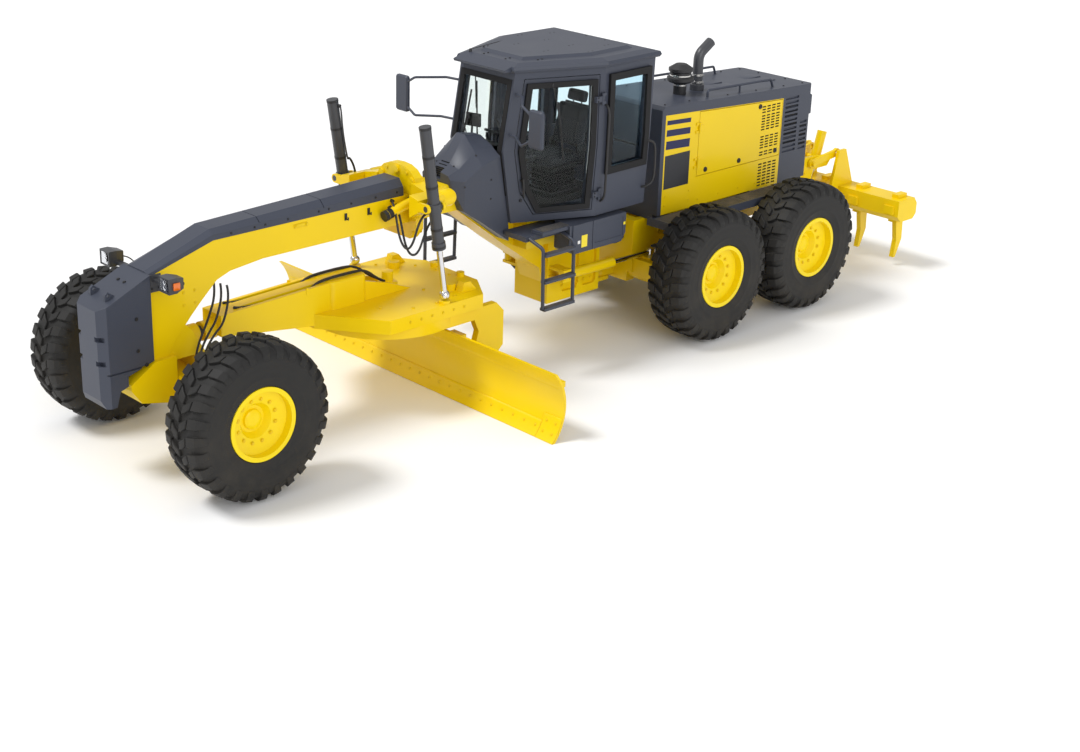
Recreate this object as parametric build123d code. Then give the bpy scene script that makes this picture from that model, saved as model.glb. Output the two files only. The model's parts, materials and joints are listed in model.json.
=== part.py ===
"""Motor grader with a six-sided cab, a 4.3 m blade, tandem drive and a rear ripper.

Millimetres, +Z up, +X towards the front, the machine parked straight and level.
The origin is on the ground, under the centre of the machine's overall box.
Distances along the machine are given as so much aft of the front axle.
"""

from build123d import *
import math
import os

# ---------------------------------------------------------------- main places
FRONT_AXLE_X = 4560.0        # front axle, ahead of the origin
WHEELBASE = 6920.0           # front axle to the middle of the tandems
TANDEM_SPACING = 1600.0      # between the two driven axles of one tandem
GAUGE = 2310.0               # between the tyre centres of one axle
HINGE_AFT = 5620.0           # articulation pin
SEAT_GAP = 0.3               # between pieces that rest against one another
RUN_CLEARANCE = 0.05         # radial, of a shaft in its bore

# -------------------------------------------------------------------- wheels
TYRE_R = 740.0
TYRE_W = 520.0
LUG_H = 34.0                 # height of a tread lug
LUG_COUNT = 18               # lugs in one row round the tyre
LUG_L = 250.0                # across the tread
LUG_T = 92.0                 # round the tread
LUG_SKEW = 24.0              # degrees from square across
BEAD_R = 318.0
RIM_FLANGE_R = 345.0
RIM_W = 460.0
RIM_T = 16.0
DISC_INSET = 120.0           # wheel disc's face inside the rim's outer edge
DISC_T = 24.0
HUB_R = 125.0
HUB_L = 150.0
SPINDLE_R = 62.0
SPINDLE_DEPTH = 110.0        # how far a spindle goes into its hub

# ---------------------------------------------------------- axles, steering
KINGPIN_Y = 850.0
KINGPIN_R = 45.0
KNUCKLE_H = 150.0
AXLE_DEPTH = 220.0           # front to back
AXLE_MID_H = 260.0
FORK_T = 40.0                # each ear of the axle's fork
STEER_ARM_AFT = 240.0
STEER_ARM_IN = 100.0
STEER_ARM_T = 36.0
TIE_ROD_R = 26.0
TIE_EYE_R = 42.0
TANDEM_H = 460.0
TANDEM_T = 210.0
TANDEM_Y = 640.0             # inner face
AXLE_TUBE_R = 150.0

# ------------------------------------------------------------------- frames
BEAM_HALF_W = 180.0
BEAM_BOTTOM_Z = 1755.0
BEAM_TOP_Z = 2040.0
BOLSTER_FRONT = -340.0       # aft of the axle, so this is ahead of it
BOLSTER_TOP_Z = 1840.0
KNEE_AFT = 360.0             # where the beam's top levels out
AXLE_BOSS_GAP = 8.0
REAR_BODY_HALF_W = 250.0
REAR_BODY_BOTTOM_Z = 470.0
REAR_BODY_TOP_Z = 1230.0
HINGE_PIN_R = 50.0
HINGE_EAR_R = 120.0
HINGE_EAR_T = 45.0
HINGE_LOW_Z = 480.0
HINGE_HIGH_Z = 1080.0
HINGE_TONGUE_T = 70.0
HINGE_CYL_FRONT = (HINGE_AFT - 980.0, 420.0, 830.0)   # aft, y, height of the barrel's pin
HINGE_CYL_REAR = (HINGE_AFT + 330.0, 470.0, 830.0)
HINGE_CYL_EYE_H = 76.0
HINGE_CYL_PIN_R = 30.0
RAIL_Y = 300.0
RAIL_T = 70.0
RAIL_BOTTOM_Z = 860.0
RAIL_TOP_Z = 1200.0
RAIL_FRONT = HINGE_AFT + 140.0
RAIL_REAR = 8560.0

# --------------------------------------------------------------------- hood
HOOD_FRONT = HINGE_AFT + 310.0
HOOD_REAR = 8560.0
HOOD_SPLIT = 8020.0          # where the doors end and the cooling housing starts
HOOD_HALF_W = 550.0
HOOD_BOTTOM_Z = 1260.0
HOOD_TOP_FRONT_Z = 2480.0
HOOD_TOP_REAR_Z = 2370.0
HOOD_DOOR_TOP_FRONT_Z = 2380.0
HOOD_DOOR_TOP_REAR_Z = 2270.0
HOOD_T = 30.0
HOOD_DOOR_T = 36.0
HOOD_PANEL_FRONT = HINGE_AFT + 370.0
HOOD_DOOR_FRONT = HINGE_AFT + 930.0
HOOD_DOOR_BOTTOM_Z = 1600.0
HOOD_HINGE_Z = (1760.0, 2160.0)

# ---------------------------------------------------------------------- cab
CAB_FLOOR_Z = 1560.0
CAB_BELT_Z = 2330.0
CAB_TOP_Z = 3120.0
CAB_WALL = 50.0
CAB_FLOOR_T = 60.0
DOOR_SILL = 20.0             # door's lower edge above the cab floor
CAB_PLAN = {    # level: (front, front half, pillar, half, rear, half), ahead of the hinge
    "floor": (1770.0, 400.0, 920.0, 770.0, 150.0, 750.0),
    "belt": (1900.0, 400.0, 880.0, 790.0, 120.0, 765.0),
    "top": (1760.0, 400.0, 850.0, 770.0, 80.0, 750.0),
}
ROOF_T = 110.0
ROOF_OVERHANG = 45.0
DOOR_GAP = 7.0
DOOR_EDGE_SLANT = 0.52       # forward per outward, of a cab door's front edges
DOOR_EDGE_Y = 480.0          # where those edges lie on the door's outline
DOOR_HINGE_H = 120.0
DOOR_BARREL_R = 14.0
DOOR_PIN_R = 8.0
CAB_HINGE = (HINGE_AFT - 898.0, 797.0)     # aft and y of the left cab door's hinge axis
CAB_HINGE_Z = (CAB_FLOOR_Z + 240.0, CAB_TOP_Z - 320.0)
STEERING_WHEEL_R = 195.0
SKIRT_HALF_W = 832.0         # outer face of the boxes under the cab
SKIRT_BOTTOM_Z = 1228.0

# ------------------------------------------------------------- blade group
BALL_AFT = 270.0
BALL_Z = 1130.0
BALL_R = 60.0
SOCKET_R = 92.0             # outside of the ball's two half sockets
SOCKET_OPEN = 26.0           # from the ball's centre to the edge of either socket
CIRCLE_AFT = HINGE_AFT - 3120.0
CIRCLE_R = 760.0
CIRCLE_IN_R = 665.0
CIRCLE_BOTTOM_Z = 790.0
CIRCLE_TOP_Z = 905.0
CIRCLE_ARM_Y = 640.0         # inner face of each carrying arm
CIRCLE_ARM_T = 75.0
CIRCLE_LIP_R = 590.0         # inner edge of the lip that the shoes carry
CIRCLE_LIP_Z = 850.0         # underside of that lip
SHOE_COUNT = 6
DRAWBAR_PLATE_BOTTOM_Z = CIRCLE_TOP_Z + SEAT_GAP
DRAWBAR_PLATE_TOP_Z = 1050.0
BLADE_HALF_L = 2160.0
BLADE_AFT = HINGE_AFT - 2840.0      # cutting edge
BLADE_H = 711.0
BLADE_BULGE = 145.0
BLADE_T = 25.0
BLADE_RAILS = ((190.0, 250.0), (520.0, 580.0))   # low and high edge of each slide rail
BLADE_RAIL_OUT = 40.0        # rails stand out behind the plate
SLIDE_GAP = 0.3              # running gap of the blade's slides
JAW_T = 34.0
TIP_PIN = (HINGE_AFT - 2470.0, 300.0)    # aft and height of the blade's tipping pins
TIP_PIN_R = 32.0
LIFT_Y = 700.0
LIFT_TOP = (HINGE_AFT - 3203.0, 2861.0)      # aft and height of the barrel's closed end
LIFT_GLAND = (HINGE_AFT - 3010.0, 1624.0)
SADDLE_AFT = HINGE_AFT - 2955.0
SADDLE_T = 100.0
LIFT_BARREL_R = 58.0
LIFT_ROD_R = 30.0
LIFT_BALL_R = 52.0
LIFT_TRUNNION_Z = 2050.0
TRUNNION_R = 30.0
TRUNNION_COLLAR_R = 70.0     # round the barrel, and carries the pins
TRUNNION_EAR_T = 30.0

# ------------------------------------------------------------------- ripper
RIPPER_ARM_PIN = (9050.0, 760.0)     # aft and height on the rear bracket
RIPPER_LINK = (480.0, 60.0)          # aft and up, from either bracket pin to the beam's pin
RIPPER_TOP_PIN = (9150.0, 1220.0)
RIPPER_TRUNNION = (9480.0, 1200.0)
RIPPER_EYE = (9350.0, 752.0)
RIPPER_BEAM = (9800.0, 740.0)        # middle of the beam's section
RIPPER_BEAM_W = 380.0
RIPPER_BEAM_H = 270.0
RIPPER_HALF_L = 1200.0
RIPPER_PIN_R = 26.0
RIPPER_ROD_END_R = 44.0
SHANK_PITCH = 533.0
SHANK_COUNT = 5
SHANK_W = 60.0


def aft(distance):
    """X of a place that lies so far aft of the front axle."""
    return FRONT_AXLE_X - distance


def block(x0, x1, y0, y1, z0, z1):
    """Upright block between two corners."""
    size = (abs(x1 - x0), abs(y1 - y0), abs(z1 - z0))
    return Pos((x0 + x1) / 2, (y0 + y1) / 2, (z0 + z1) / 2) * Box(*size)


def side_plate(points, y0, y1):
    """Plate with a side-view outline, points as (aft, height)."""
    outline = Polyline(*[(aft(a), y0, z) for a, z in points], close=True)
    return extrude(make_face(outline), amount=y1 - y0, dir=(0, 1, 0))


def cross_plate(points, a0, a1):
    """Plate with a front-view outline, points as (y, height), between two distances aft."""
    outline = Polyline(*[(aft(a0), y, z) for y, z in points], close=True)
    return extrude(make_face(outline), amount=a1 - a0, dir=(-1, 0, 0))


def plan_plate(points, z0, z1):
    """Plate with a plan outline, points as (aft, y)."""
    outline = Polyline(*[(aft(a), y, z0) for a, y in points], close=True)
    return extrude(make_face(outline), amount=z1 - z0, dir=(0, 0, 1))


def bar(start, end, radius):
    """Round bar between two points."""
    run = Vector(*end) - Vector(*start)
    frame = Plane(origin=start, z_dir=run)
    return frame * Cylinder(radius, run.length, align=(Align.CENTER, Align.CENTER, Align.MIN))


def pipe(points, bend, radius):
    """Bent tube along straight runs with one bend radius."""
    path = FilletPolyline(*points, radius=bend) if len(points) > 2 else Polyline(*points)
    first = Vector(*points[1]) - Vector(*points[0])
    section = Plane(origin=points[0], z_dir=first) * Circle(radius)
    return sweep(section, path=path)


def cross_pin(a, z, y0, y1, radius):
    """Round bar across the machine."""
    return bar((aft(a), y0, z), (aft(a), y1, z), radius)


def upright(a, y, z0, z1, radius):
    """Vertical round bar."""
    return bar((aft(a), y, z0), (aft(a), y, z1), radius)


def ball(centre, towards, radius):
    """Sphere with its poles on the line towards a second point."""
    run = Vector(*towards) - Vector(*centre)
    return Plane(origin=centre, z_dir=run) * Sphere(radius)


def turned(a, y, profile):
    """Round form on a vertical axis, from a profile of (radius, height) points."""
    outline = Polyline(*[(radius, 0, z) for radius, z in profile], close=True)
    return Pos(aft(a), y, 0) * revolve(make_face(outline), axis=Axis.Z)


def slots(centre_a, side_y, centre_z, columns, rows, pitch_a, pitch_z, length, width, depth):
    """Grid of slots to cut into an outer side face on the left."""
    cutter = block(-length / 2, length / 2, side_y - depth, side_y + 1, -width / 2, width / 2)
    places = []
    for column in range(columns):
        for row in range(rows):
            a = centre_a + (column - (columns - 1) / 2) * pitch_a
            z = centre_z + (row - (rows - 1) / 2) * pitch_z
            places.append(Pos(aft(a), 0, z) * cutter)
    return places


def both_sides(shape):
    """The shape and its mirror image across the machine's middle plane."""
    return [shape, mirror(shape, about=Plane.XZ)]


def save(name, *shapes):
    """Writes one node's solids to its STEP file."""
    solids = [solid for shape in shapes for solid in shape.solids()]
    whole = solids[0] if len(solids) == 1 else Compound(children=solids)
    export_step(whole, f"parts/{name}.step")


# -------------------------------------------------------------------- wheels
def tyre():
    """Tyre on the Y axis, its outer side towards +Y, with two staggered rows of lugs."""
    carcass_r = TYRE_R - LUG_H
    half = TYRE_W / 2
    rim_half = RIM_W / 2 - RIM_T
    outline = Polyline(
        (BEAD_R, -rim_half + SEAT_GAP),
        (RIM_FLANGE_R + 2, -rim_half + SEAT_GAP),
        (RIM_FLANGE_R + 24, -rim_half - 10),
        (TYRE_R * 0.72, -half),
        (TYRE_R * 0.86, -half),
        (carcass_r - 40, -half + 24),
        (carcass_r, -half + 78),
        (carcass_r, half - 78),
        (carcass_r - 40, half - 24),
        (TYRE_R * 0.86, half),
        (TYRE_R * 0.72, half),
        (RIM_FLANGE_R + 24, rim_half + 10),
        (RIM_FLANGE_R + 2, rim_half - SEAT_GAP),
        (BEAD_R, rim_half - SEAT_GAP),
        close=True,
    )
    body = revolve(make_face(Plane.XY * outline), axis=Axis.Y)
    lugs = []
    for row, skew in ((-1, LUG_SKEW), (1, -LUG_SKEW)):
        for number in range(LUG_COUNT):
            angle = (number + (0.25 if row > 0 else -0.25)) * 360 / LUG_COUNT
            lug = Box(LUG_T, LUG_L, 2 * LUG_H)
            lug = chamfer(lug.faces().sort_by(Axis.Y)[row].edges().sort_by(Axis.Z)[-1], 26)
            lug = Pos(0, row * (half - LUG_L / 2 - 4), TYRE_R - LUG_H) * Rot(0, 0, skew) * lug
            lugs.append(Rot(0, angle, 0) * lug)
    envelope = Rot(90, 0, 0) * Cylinder(TYRE_R, TYRE_W)
    return body + [lug & envelope for lug in lugs]


def rim():
    """Wheel rim on the Y axis: barrel with flanges, dished disc and hub with its bore."""
    half = RIM_W / 2
    barrel_r = BEAD_R - SEAT_GAP
    barrel = Polyline(
        (barrel_r - RIM_T, -half),
        (RIM_FLANGE_R, -half),
        (RIM_FLANGE_R, -half + RIM_T),
        (barrel_r, -half + RIM_T),
        (barrel_r, half - RIM_T),
        (RIM_FLANGE_R, half - RIM_T),
        (RIM_FLANGE_R, half),
        (barrel_r - RIM_T, half),
        close=True,
    )
    ring = revolve(make_face(Plane.XY * barrel), axis=Axis.Y)
    face_y = half - DISC_INSET
    disc = Polyline(
        (0, face_y - 60),
        (HUB_R, face_y - 60),
        (HUB_R + 40, face_y),
        (barrel_r - RIM_T + 1, face_y + 40),
        (barrel_r - RIM_T + 1, face_y + 40 - DISC_T),
        (HUB_R + 50, face_y - DISC_T),
        (HUB_R, face_y - 60 - DISC_T),
        (HUB_R, face_y - 60 - HUB_L),
        (SPINDLE_R + RUN_CLEARANCE, face_y - 60 - HUB_L),
        (SPINDLE_R + RUN_CLEARANCE, face_y - 60 - HUB_L + SPINDLE_DEPTH + 6),
        (0, face_y - 60 - HUB_L + SPINDLE_DEPTH + 6),
        close=True,
    )
    return ring + revolve(make_face(Plane.XY * disc), axis=Axis.Y)


HUB_MOUTH_Y = RIM_W / 2 - DISC_INSET - 60 - HUB_L     # hub's inner end, from the wheel's centre


def place_wheels():
    """Six wheels, each a tyre and a rim of its own."""
    left_tyre = tyre()
    left_rim = rim()
    right_tyre = mirror(left_tyre, about=Plane.XZ)
    right_rim = mirror(left_rim, about=Plane.XZ)
    axles = {
        "front": 0.0,
        "mid": WHEELBASE - TANDEM_SPACING / 2,
        "rear": WHEELBASE + TANDEM_SPACING / 2,
    }
    for axle, distance in axles.items():
        place = Pos(aft(distance), GAUGE / 2, TYRE_R)
        save(f"tyre_{axle}_left", place * left_tyre)
        save(f"rim_{axle}_left", place * left_rim)
        place = Pos(aft(distance), -GAUGE / 2, TYRE_R)
        save(f"tyre_{axle}_right", place * right_tyre)
        save(f"rim_{axle}_right", place * right_rim)


def spindle(distance, inner_y):
    """Wheel spindle on the left side, from an inner face into the hub's bore."""
    end_y = GAUGE / 2 + HUB_MOUTH_Y + SPINDLE_DEPTH
    return cross_pin(distance, TYRE_R, inner_y, end_y, SPINDLE_R)


# -------------------------------------------------------- front axle, steering
def front_axle():
    """Arched axle beam with a forked end for each knuckle and its trunnions fore and aft."""
    half_d = AXLE_DEPTH / 2
    fork_half = KNUCKLE_H / 2 + SEAT_GAP
    in_y = KINGPIN_Y - 105
    out_y = KINGPIN_Y + 70
    z_low = TYRE_R - fork_half - FORK_T
    z_high = TYRE_R + fork_half + FORK_T
    half_outline = [
        (0, TYRE_R - AXLE_MID_H / 2), (260, TYRE_R - AXLE_MID_H / 2), (in_y - 140, z_low + 30),
        (in_y, z_low), (out_y, z_low), (out_y, z_high), (in_y, z_high),
        (in_y - 140, z_high - 20), (260, TYRE_R + AXLE_MID_H / 2), (0, TYRE_R + AXLE_MID_H / 2),
    ]
    half = cross_plate(half_outline, -half_d, half_d)
    half -= block(aft(-half_d - 1), aft(half_d + 1), in_y, out_y + 1,
                  TYRE_R - fork_half, TYRE_R + fork_half)
    half -= upright(0, KINGPIN_Y, z_low - 1, z_high + 1, KINGPIN_R + RUN_CLEARANCE)
    beam = half + mirror(half, about=Plane.XZ)
    trunnion = bar((aft(-half_d - 90), 0, TYRE_R), (aft(half_d + 90), 0, TYRE_R), 70)
    save("front_axle", beam + trunnion)


def knuckle_shape():
    """Left steering knuckle with kingpin, spindle and steering arm."""
    half = KNUCKLE_H / 2
    ear_z = half + FORK_T + 2 * SEAT_GAP
    body = upright(0, KINGPIN_Y, TYRE_R - half, TYRE_R + half, 84)
    body += upright(0, KINGPIN_Y, TYRE_R - ear_z, TYRE_R + ear_z + 12, KINGPIN_R)
    body += spindle(0, KINGPIN_Y)
    flange_y = GAUGE / 2 + HUB_MOUTH_Y - 6
    body += cross_pin(0, TYRE_R, KINGPIN_Y + 60, flange_y, 70)
    arm_top = TYRE_R - ear_z
    arm_low = arm_top - STEER_ARM_T
    body += upright(0, KINGPIN_Y, arm_low, arm_top, 70)
    eye_y = KINGPIN_Y - STEER_ARM_IN
    arm = plan_plate([(-30, KINGPIN_Y - 60), (-30, KINGPIN_Y + 50), (40, KINGPIN_Y + 55),
                      (STEER_ARM_AFT + 10, eye_y + 34), (STEER_ARM_AFT + 10, eye_y - 34)],
                     arm_low, arm_top)
    body += arm + upright(STEER_ARM_AFT, eye_y, arm_low, arm_top, 40)
    return body


def tie_rod_z():
    """Height of the tie rod's middle, its eyes just under the steering arms."""
    arm_low = TYRE_R - KNUCKLE_H / 2 - FORK_T - 2 * SEAT_GAP - STEER_ARM_T
    return arm_low - SEAT_GAP - TIE_ROD_R


def steering():
    """Two knuckles and the tie rod between their arms."""
    left = knuckle_shape()
    save("knuckle_left", left)
    save("knuckle_right", mirror(left, about=Plane.XZ))
    z = tie_rod_z()
    eye_y = KINGPIN_Y - STEER_ARM_IN
    rod = cross_pin(STEER_ARM_AFT, z, -eye_y, eye_y, TIE_ROD_R - 2)
    for y in (-eye_y, eye_y):
        rod += upright(STEER_ARM_AFT, y, z - TIE_ROD_R, z + TIE_ROD_R, TIE_EYE_R)
    save("tie_rod", rod)


# ----------------------------------------------------------------- front frame
def hinge_ears(z_low):
    """Pair of ears of the front frame at one level of the articulation hinge."""
    ears = []
    for z in (z_low, z_low + HINGE_EAR_T + HINGE_TONGUE_T + 2 * SEAT_GAP):
        ear = upright(HINGE_AFT, 0, z, z + HINGE_EAR_T, HINGE_EAR_R)
        ear += block(aft(HINGE_AFT), aft(HINGE_AFT - 300), -HINGE_EAR_R, HINGE_EAR_R,
                     z, z + HINGE_EAR_T)
        ear -= upright(HINGE_AFT, 0, z - 1, z + HINGE_EAR_T + 1, HINGE_PIN_R + RUN_CLEARANCE)
        ears.append(ear)
    return ears


def gooseneck():
    """Main beam: bolster over the axle, level beam, slope under the cab, rear body."""
    outline = [
        (BOLSTER_FRONT, 1020), (-200, 1005), (-85, 1188), (86, 1378), (211, 1503),
        (381, 1660), (530, 1715), (900, BEAM_BOTTOM_Z), (HINGE_AFT - 2320, BEAM_BOTTOM_Z),
        (HINGE_AFT - 1650, 1250), (HINGE_AFT - 1120, 880), (HINGE_AFT - 1060, 700),
        (HINGE_AFT - 980, 560), (HINGE_AFT - 720, REAR_BODY_BOTTOM_Z),
        (HINGE_AFT - 260, REAR_BODY_BOTTOM_Z), (HINGE_AFT - 260, REAR_BODY_TOP_Z),
        (HINGE_AFT - 1200, REAR_BODY_TOP_Z), (HINGE_AFT - 1560, 1480),
        (HINGE_AFT - 1720, 1640), (HINGE_AFT - 2240, BEAM_TOP_Z),
        (KNEE_AFT, BEAM_TOP_Z), (BOLSTER_FRONT, BOLSTER_TOP_Z),
    ]
    return side_plate(outline, -BEAM_HALF_W, BEAM_HALF_W)


def axle_bosses():
    """Nose under the bolster: two bosses that carry the axle's trunnions, one each side of it."""
    half_d = AXLE_DEPTH / 2 + AXLE_BOSS_GAP
    nose = side_plate([(-600, 900), (-600, 840), (-500, 700), (-half_d, 610), (-half_d, 1060),
                       (BOLSTER_FRONT, 1060)], -235, 235)
    rear = side_plate([(half_d, 610), (half_d + 170, 660), (half_d + 170, 900), (100, 1240),
                       (10, 1330), (-150, 1330), (-200, 1100), (-200, 1000), (half_d, 1000)],
                      -BEAM_HALF_W + 5, BEAM_HALF_W - 5)
    bore = bar((aft(-700), 0, TYRE_R), (aft(700), 0, TYRE_R), 70 + RUN_CLEARANCE)
    blind = block(aft(-half_d - 96), aft(half_d + 96), -200, 200, 500, 1000)
    return nose + rear - (bore & blind)


def side_pockets():
    """Recesses in the rear body's sides, between the flanges and the hinge cylinder's lugs."""
    outlines = (
        [(HINGE_AFT - 820, 560), (HINGE_AFT - 860, 620), (HINGE_AFT - 860, 1120),
         (HINGE_AFT - 820, 1180), (HINGE_AFT - 620, 1180), (HINGE_AFT - 580, 1120),
         (HINGE_AFT - 580, 620), (HINGE_AFT - 620, 560)],
        [(HINGE_AFT - 500, 560), (HINGE_AFT - 530, 600), (HINGE_AFT - 530, 1140),
         (HINGE_AFT - 500, 1180), (HINGE_AFT - 340, 1180), (HINGE_AFT - 310, 1140),
         (HINGE_AFT - 310, 600), (HINGE_AFT - 340, 560)],
    )
    pockets = []
    for outline in outlines:
        pockets += both_sides(side_plate(outline, REAR_BODY_HALF_W - 35, REAR_BODY_HALF_W + 1))
    return pockets


def front_frame():
    """One welded frame from the bolster to the articulation hinge."""
    frame = gooseneck()
    frame += block(aft(HINGE_AFT - 1060), aft(HINGE_AFT - 260), -REAR_BODY_HALF_W,
                   REAR_BODY_HALF_W, REAR_BODY_BOTTOM_Z, REAR_BODY_TOP_Z)
    frame += block(aft(HINGE_AFT - 1520), aft(HINGE_AFT - 280), -380, 380, REAR_BODY_TOP_Z - 10,
                   CAB_FLOOR_Z - SEAT_GAP)
    for pocket in side_pockets():
        frame -= pocket
    frame += axle_bosses()
    for level in (HINGE_LOW_Z, HINGE_HIGH_Z):
        for ear in hinge_ears(level):
            frame += ear
    socket = bar((aft(-60), 0, BALL_Z), (aft(BALL_AFT - SOCKET_OPEN), 0, BALL_Z), SOCKET_R)
    frame += socket - drawbar_ball(SEAT_GAP)
    pin_a, pin_y, pin_z = HINGE_CYL_FRONT
    half = HINGE_CYL_EYE_H / 2 + SEAT_GAP
    for side in (-1, 1):
        for z in (pin_z - half - 30, pin_z + half):
            lug = block(aft(pin_a - 60), aft(pin_a + 60), side * (REAR_BODY_HALF_W - 10),
                        side * (pin_y + 50), z, z + 30)
            frame += lug
        frame += upright(pin_a, side * pin_y, pin_z - half - 34, pin_z + half + 34,
                         HINGE_CYL_PIN_R)
    save("front_frame", frame)


def cover_section(distance, low, high):
    """Cross-section of the beam's cover, with sloping shoulders."""
    side = low + 0.55 * (high - low)
    points = [(-BEAM_HALF_W, low), (BEAM_HALF_W, low), (BEAM_HALF_W - 8, side), (112, high),
              (-112, high), (-BEAM_HALF_W + 8, side)]
    return make_face(Polyline(*[(aft(distance), y, z) for y, z in points], close=True))


def beam_cover():
    """Grey cover over the beam, from the front weight over the knee to the saddle."""
    gap = SEAT_GAP * 1.2
    front = BOLSTER_FRONT + 2
    rise = (BEAM_TOP_Z - BOLSTER_TOP_Z) / (KNEE_AFT - BOLSTER_FRONT)
    sections = [
        cover_section(front, BOLSTER_TOP_Z + rise * 2 + gap, BOLSTER_TOP_Z + 45),
        cover_section(KNEE_AFT, BEAM_TOP_Z + gap, BEAM_TOP_Z + 92),
        cover_section(SADDLE_AFT - 65, BEAM_TOP_Z + gap, BEAM_TOP_Z + 165),
    ]
    cover = loft(sections, ruled=True)
    for distance in (KNEE_AFT + 520, KNEE_AFT + 1260):
        cover -= block(aft(distance - 4), aft(distance + 4), -200, 200, BEAM_TOP_Z + 60, 2300)
    save("beam_cover", cover)


def push_block():
    """Front weight: bevelled face with four slots, a seam near its foot and two lifting eyes."""
    rear = BOLSTER_FRONT - SEAT_GAP
    face = -870
    body = side_plate([(rear, 1068), (-614, 985), (-614, 892), (-700, 862), (-742, 722),
                       (face, 716), (face, 1640), (rear, 1872)], -215, 215)
    for side in (-1, 1):
        body -= plan_plate([(face - 1, side * 216), (face - 1, side * 150),
                            (face + 75, side * 216)], 700, 1900)
        for low in (1350, 1122):
            body -= block(aft(face - 1), aft(face + 52), side * 112, side * 216, low, low + 46)
        body -= block(aft(face - 1), aft(rear + 1), side * 198, side * 216, 1030, 1048)
        eye = side_plate([(-752, 1685), (-752, 1756), (-722, 1782), (-690, 1756), (-650, 1730)],
                         side * 120 - 14, side * 120 + 14)
        eye -= cross_pin(-720, 1745, side * 120 - 20, side * 120 + 20, 15)
        body += eye
    body -= side_plate([(face - 1, 714), (face - 1, 800), (face + 40, 714)], -220, 220)
    save("push_block", body)


def headlamps():
    """Lamp units on their brackets beside the bolster, tapering to the back."""
    faces = []
    for distance, y0, y1, z0, z1 in ((-372, 408, 564, 1788, 1930), (-290, 408, 564, 1788, 1930),
                                     (-205, 432, 540, 1812, 1908)):
        corners = [(y0, z0), (y1, z0), (y1, z1), (y0, z1)]
        faces.append(make_face(Polyline(*[(aft(distance), y, z) for y, z in corners],
                                        close=True)))
    lamp = loft(faces, ruled=True)
    lamp -= block(aft(-373), aft(-360), 420, 552, 1800, 1918)
    lamp += block(aft(-330), aft(-270), 564 - 1, 582, 1826, 1886)
    lamp += block(aft(-300), aft(-240), BEAM_HALF_W + SEAT_GAP, 440, 1800, 1826)
    lamp += side_plate([(-325, 1700), (-215, 1700), (-215, 1860), (-325, 1860)],
                       BEAM_HALF_W + SEAT_GAP, BEAM_HALF_W + 14)
    save("headlamps", *both_sides(lamp))


def saddle_ring():
    """Ring round the beam: rounded arch on top, flat feet below, pads on its faces."""
    a0, a1 = SADDLE_AFT, SADDLE_AFT + SADDLE_T
    half = [(0, 1590), (200, 1590), (285, 1690), (300, 2120), (268, 2215), (200, 2275),
            (110, 2310), (0, 2318)]
    outline = half + [(-y, z) for y, z in reversed(half[1:-1])]
    ring = cross_plate(outline, a0, a1)
    for y in (-225, 0, 225):
        z = 2262 if y == 0 else 2180
        ring += bar((aft(a0 - 22), y, z), (aft(a1 + 22), y, z), 38)
    hole = block(aft(a0 - 1), aft(a1 + 1), -BEAM_HALF_W - SEAT_GAP, BEAM_HALF_W + SEAT_GAP,
                 BEAM_BOTTOM_Z - SEAT_GAP, BEAM_TOP_Z + SEAT_GAP)
    return ring - hole


def saddle():
    """Yoke round the beam with a tapered arm to each lift cylinder and its locking cylinder."""
    a1 = SADDLE_AFT + SADDLE_T
    trunnion_aft = lift_aft(LIFT_TRUNNION_Z)
    inner = LIFT_Y - LIFT_BARREL_R - 52
    ear_in = TRUNNION_COLLAR_R + 12
    ear_out = ear_in + TRUNNION_EAR_T
    low, high = LIFT_TRUNNION_Z - 45, LIFT_TRUNNION_Z + 45
    arm = cross_plate([(260, low - 190), (300, low - 190), (inner, low - 15), (inner, high + 15),
                       (290, high + 80), (260, high + 80)], trunnion_aft - ear_out, a1)
    arm -= block(aft(trunnion_aft - ear_out - 1), aft(SADDLE_AFT - 40), 200, inner - 130,
                 low - 200, high + 90)
    arm += block(aft(trunnion_aft - ear_out), aft(trunnion_aft + ear_out), inner - 1, LIFT_Y,
                 low, high)
    arm += trunnion(ear_out, 45)
    arm -= block(aft(trunnion_aft - ear_in), aft(trunnion_aft + ear_in), inner, LIFT_Y + 90,
                 low - 30, high + 30)
    arm -= trunnion(ear_out + 1, TRUNNION_R + RUN_CLEARANCE)
    lock = bar((aft(SADDLE_AFT - 380), 262, 1905), (aft(SADDLE_AFT + 20), 262, 2000), 50)
    yoke = saddle_ring() + lock
    save("saddle", yoke + arm + mirror(arm, about=Plane.XZ))


def trunnion(half_length, radius):
    """Fore-and-aft pin through the left lift cylinder, which tilts about it."""
    middle = lift_aft(LIFT_TRUNNION_Z)
    return bar((aft(middle - half_length), LIFT_Y, LIFT_TRUNNION_Z),
               (aft(middle + half_length), LIFT_Y, LIFT_TRUNNION_Z), radius)


def lift_aft(z):
    """Distance aft of a lift cylinder's axis at a height."""
    slope = (LIFT_GLAND[0] - LIFT_TOP[0]) / (LIFT_TOP[1] - LIFT_GLAND[1])
    return LIFT_TOP[0] + (LIFT_TOP[1] - z) * slope


def lift_point(z):
    """Point on the left lift cylinder's axis at a height."""
    return (aft(lift_aft(z)), LIFT_Y, z)


LIFT_BALL_Z = DRAWBAR_PLATE_TOP_Z + 30 + SEAT_GAP + LIFT_BALL_R


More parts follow.
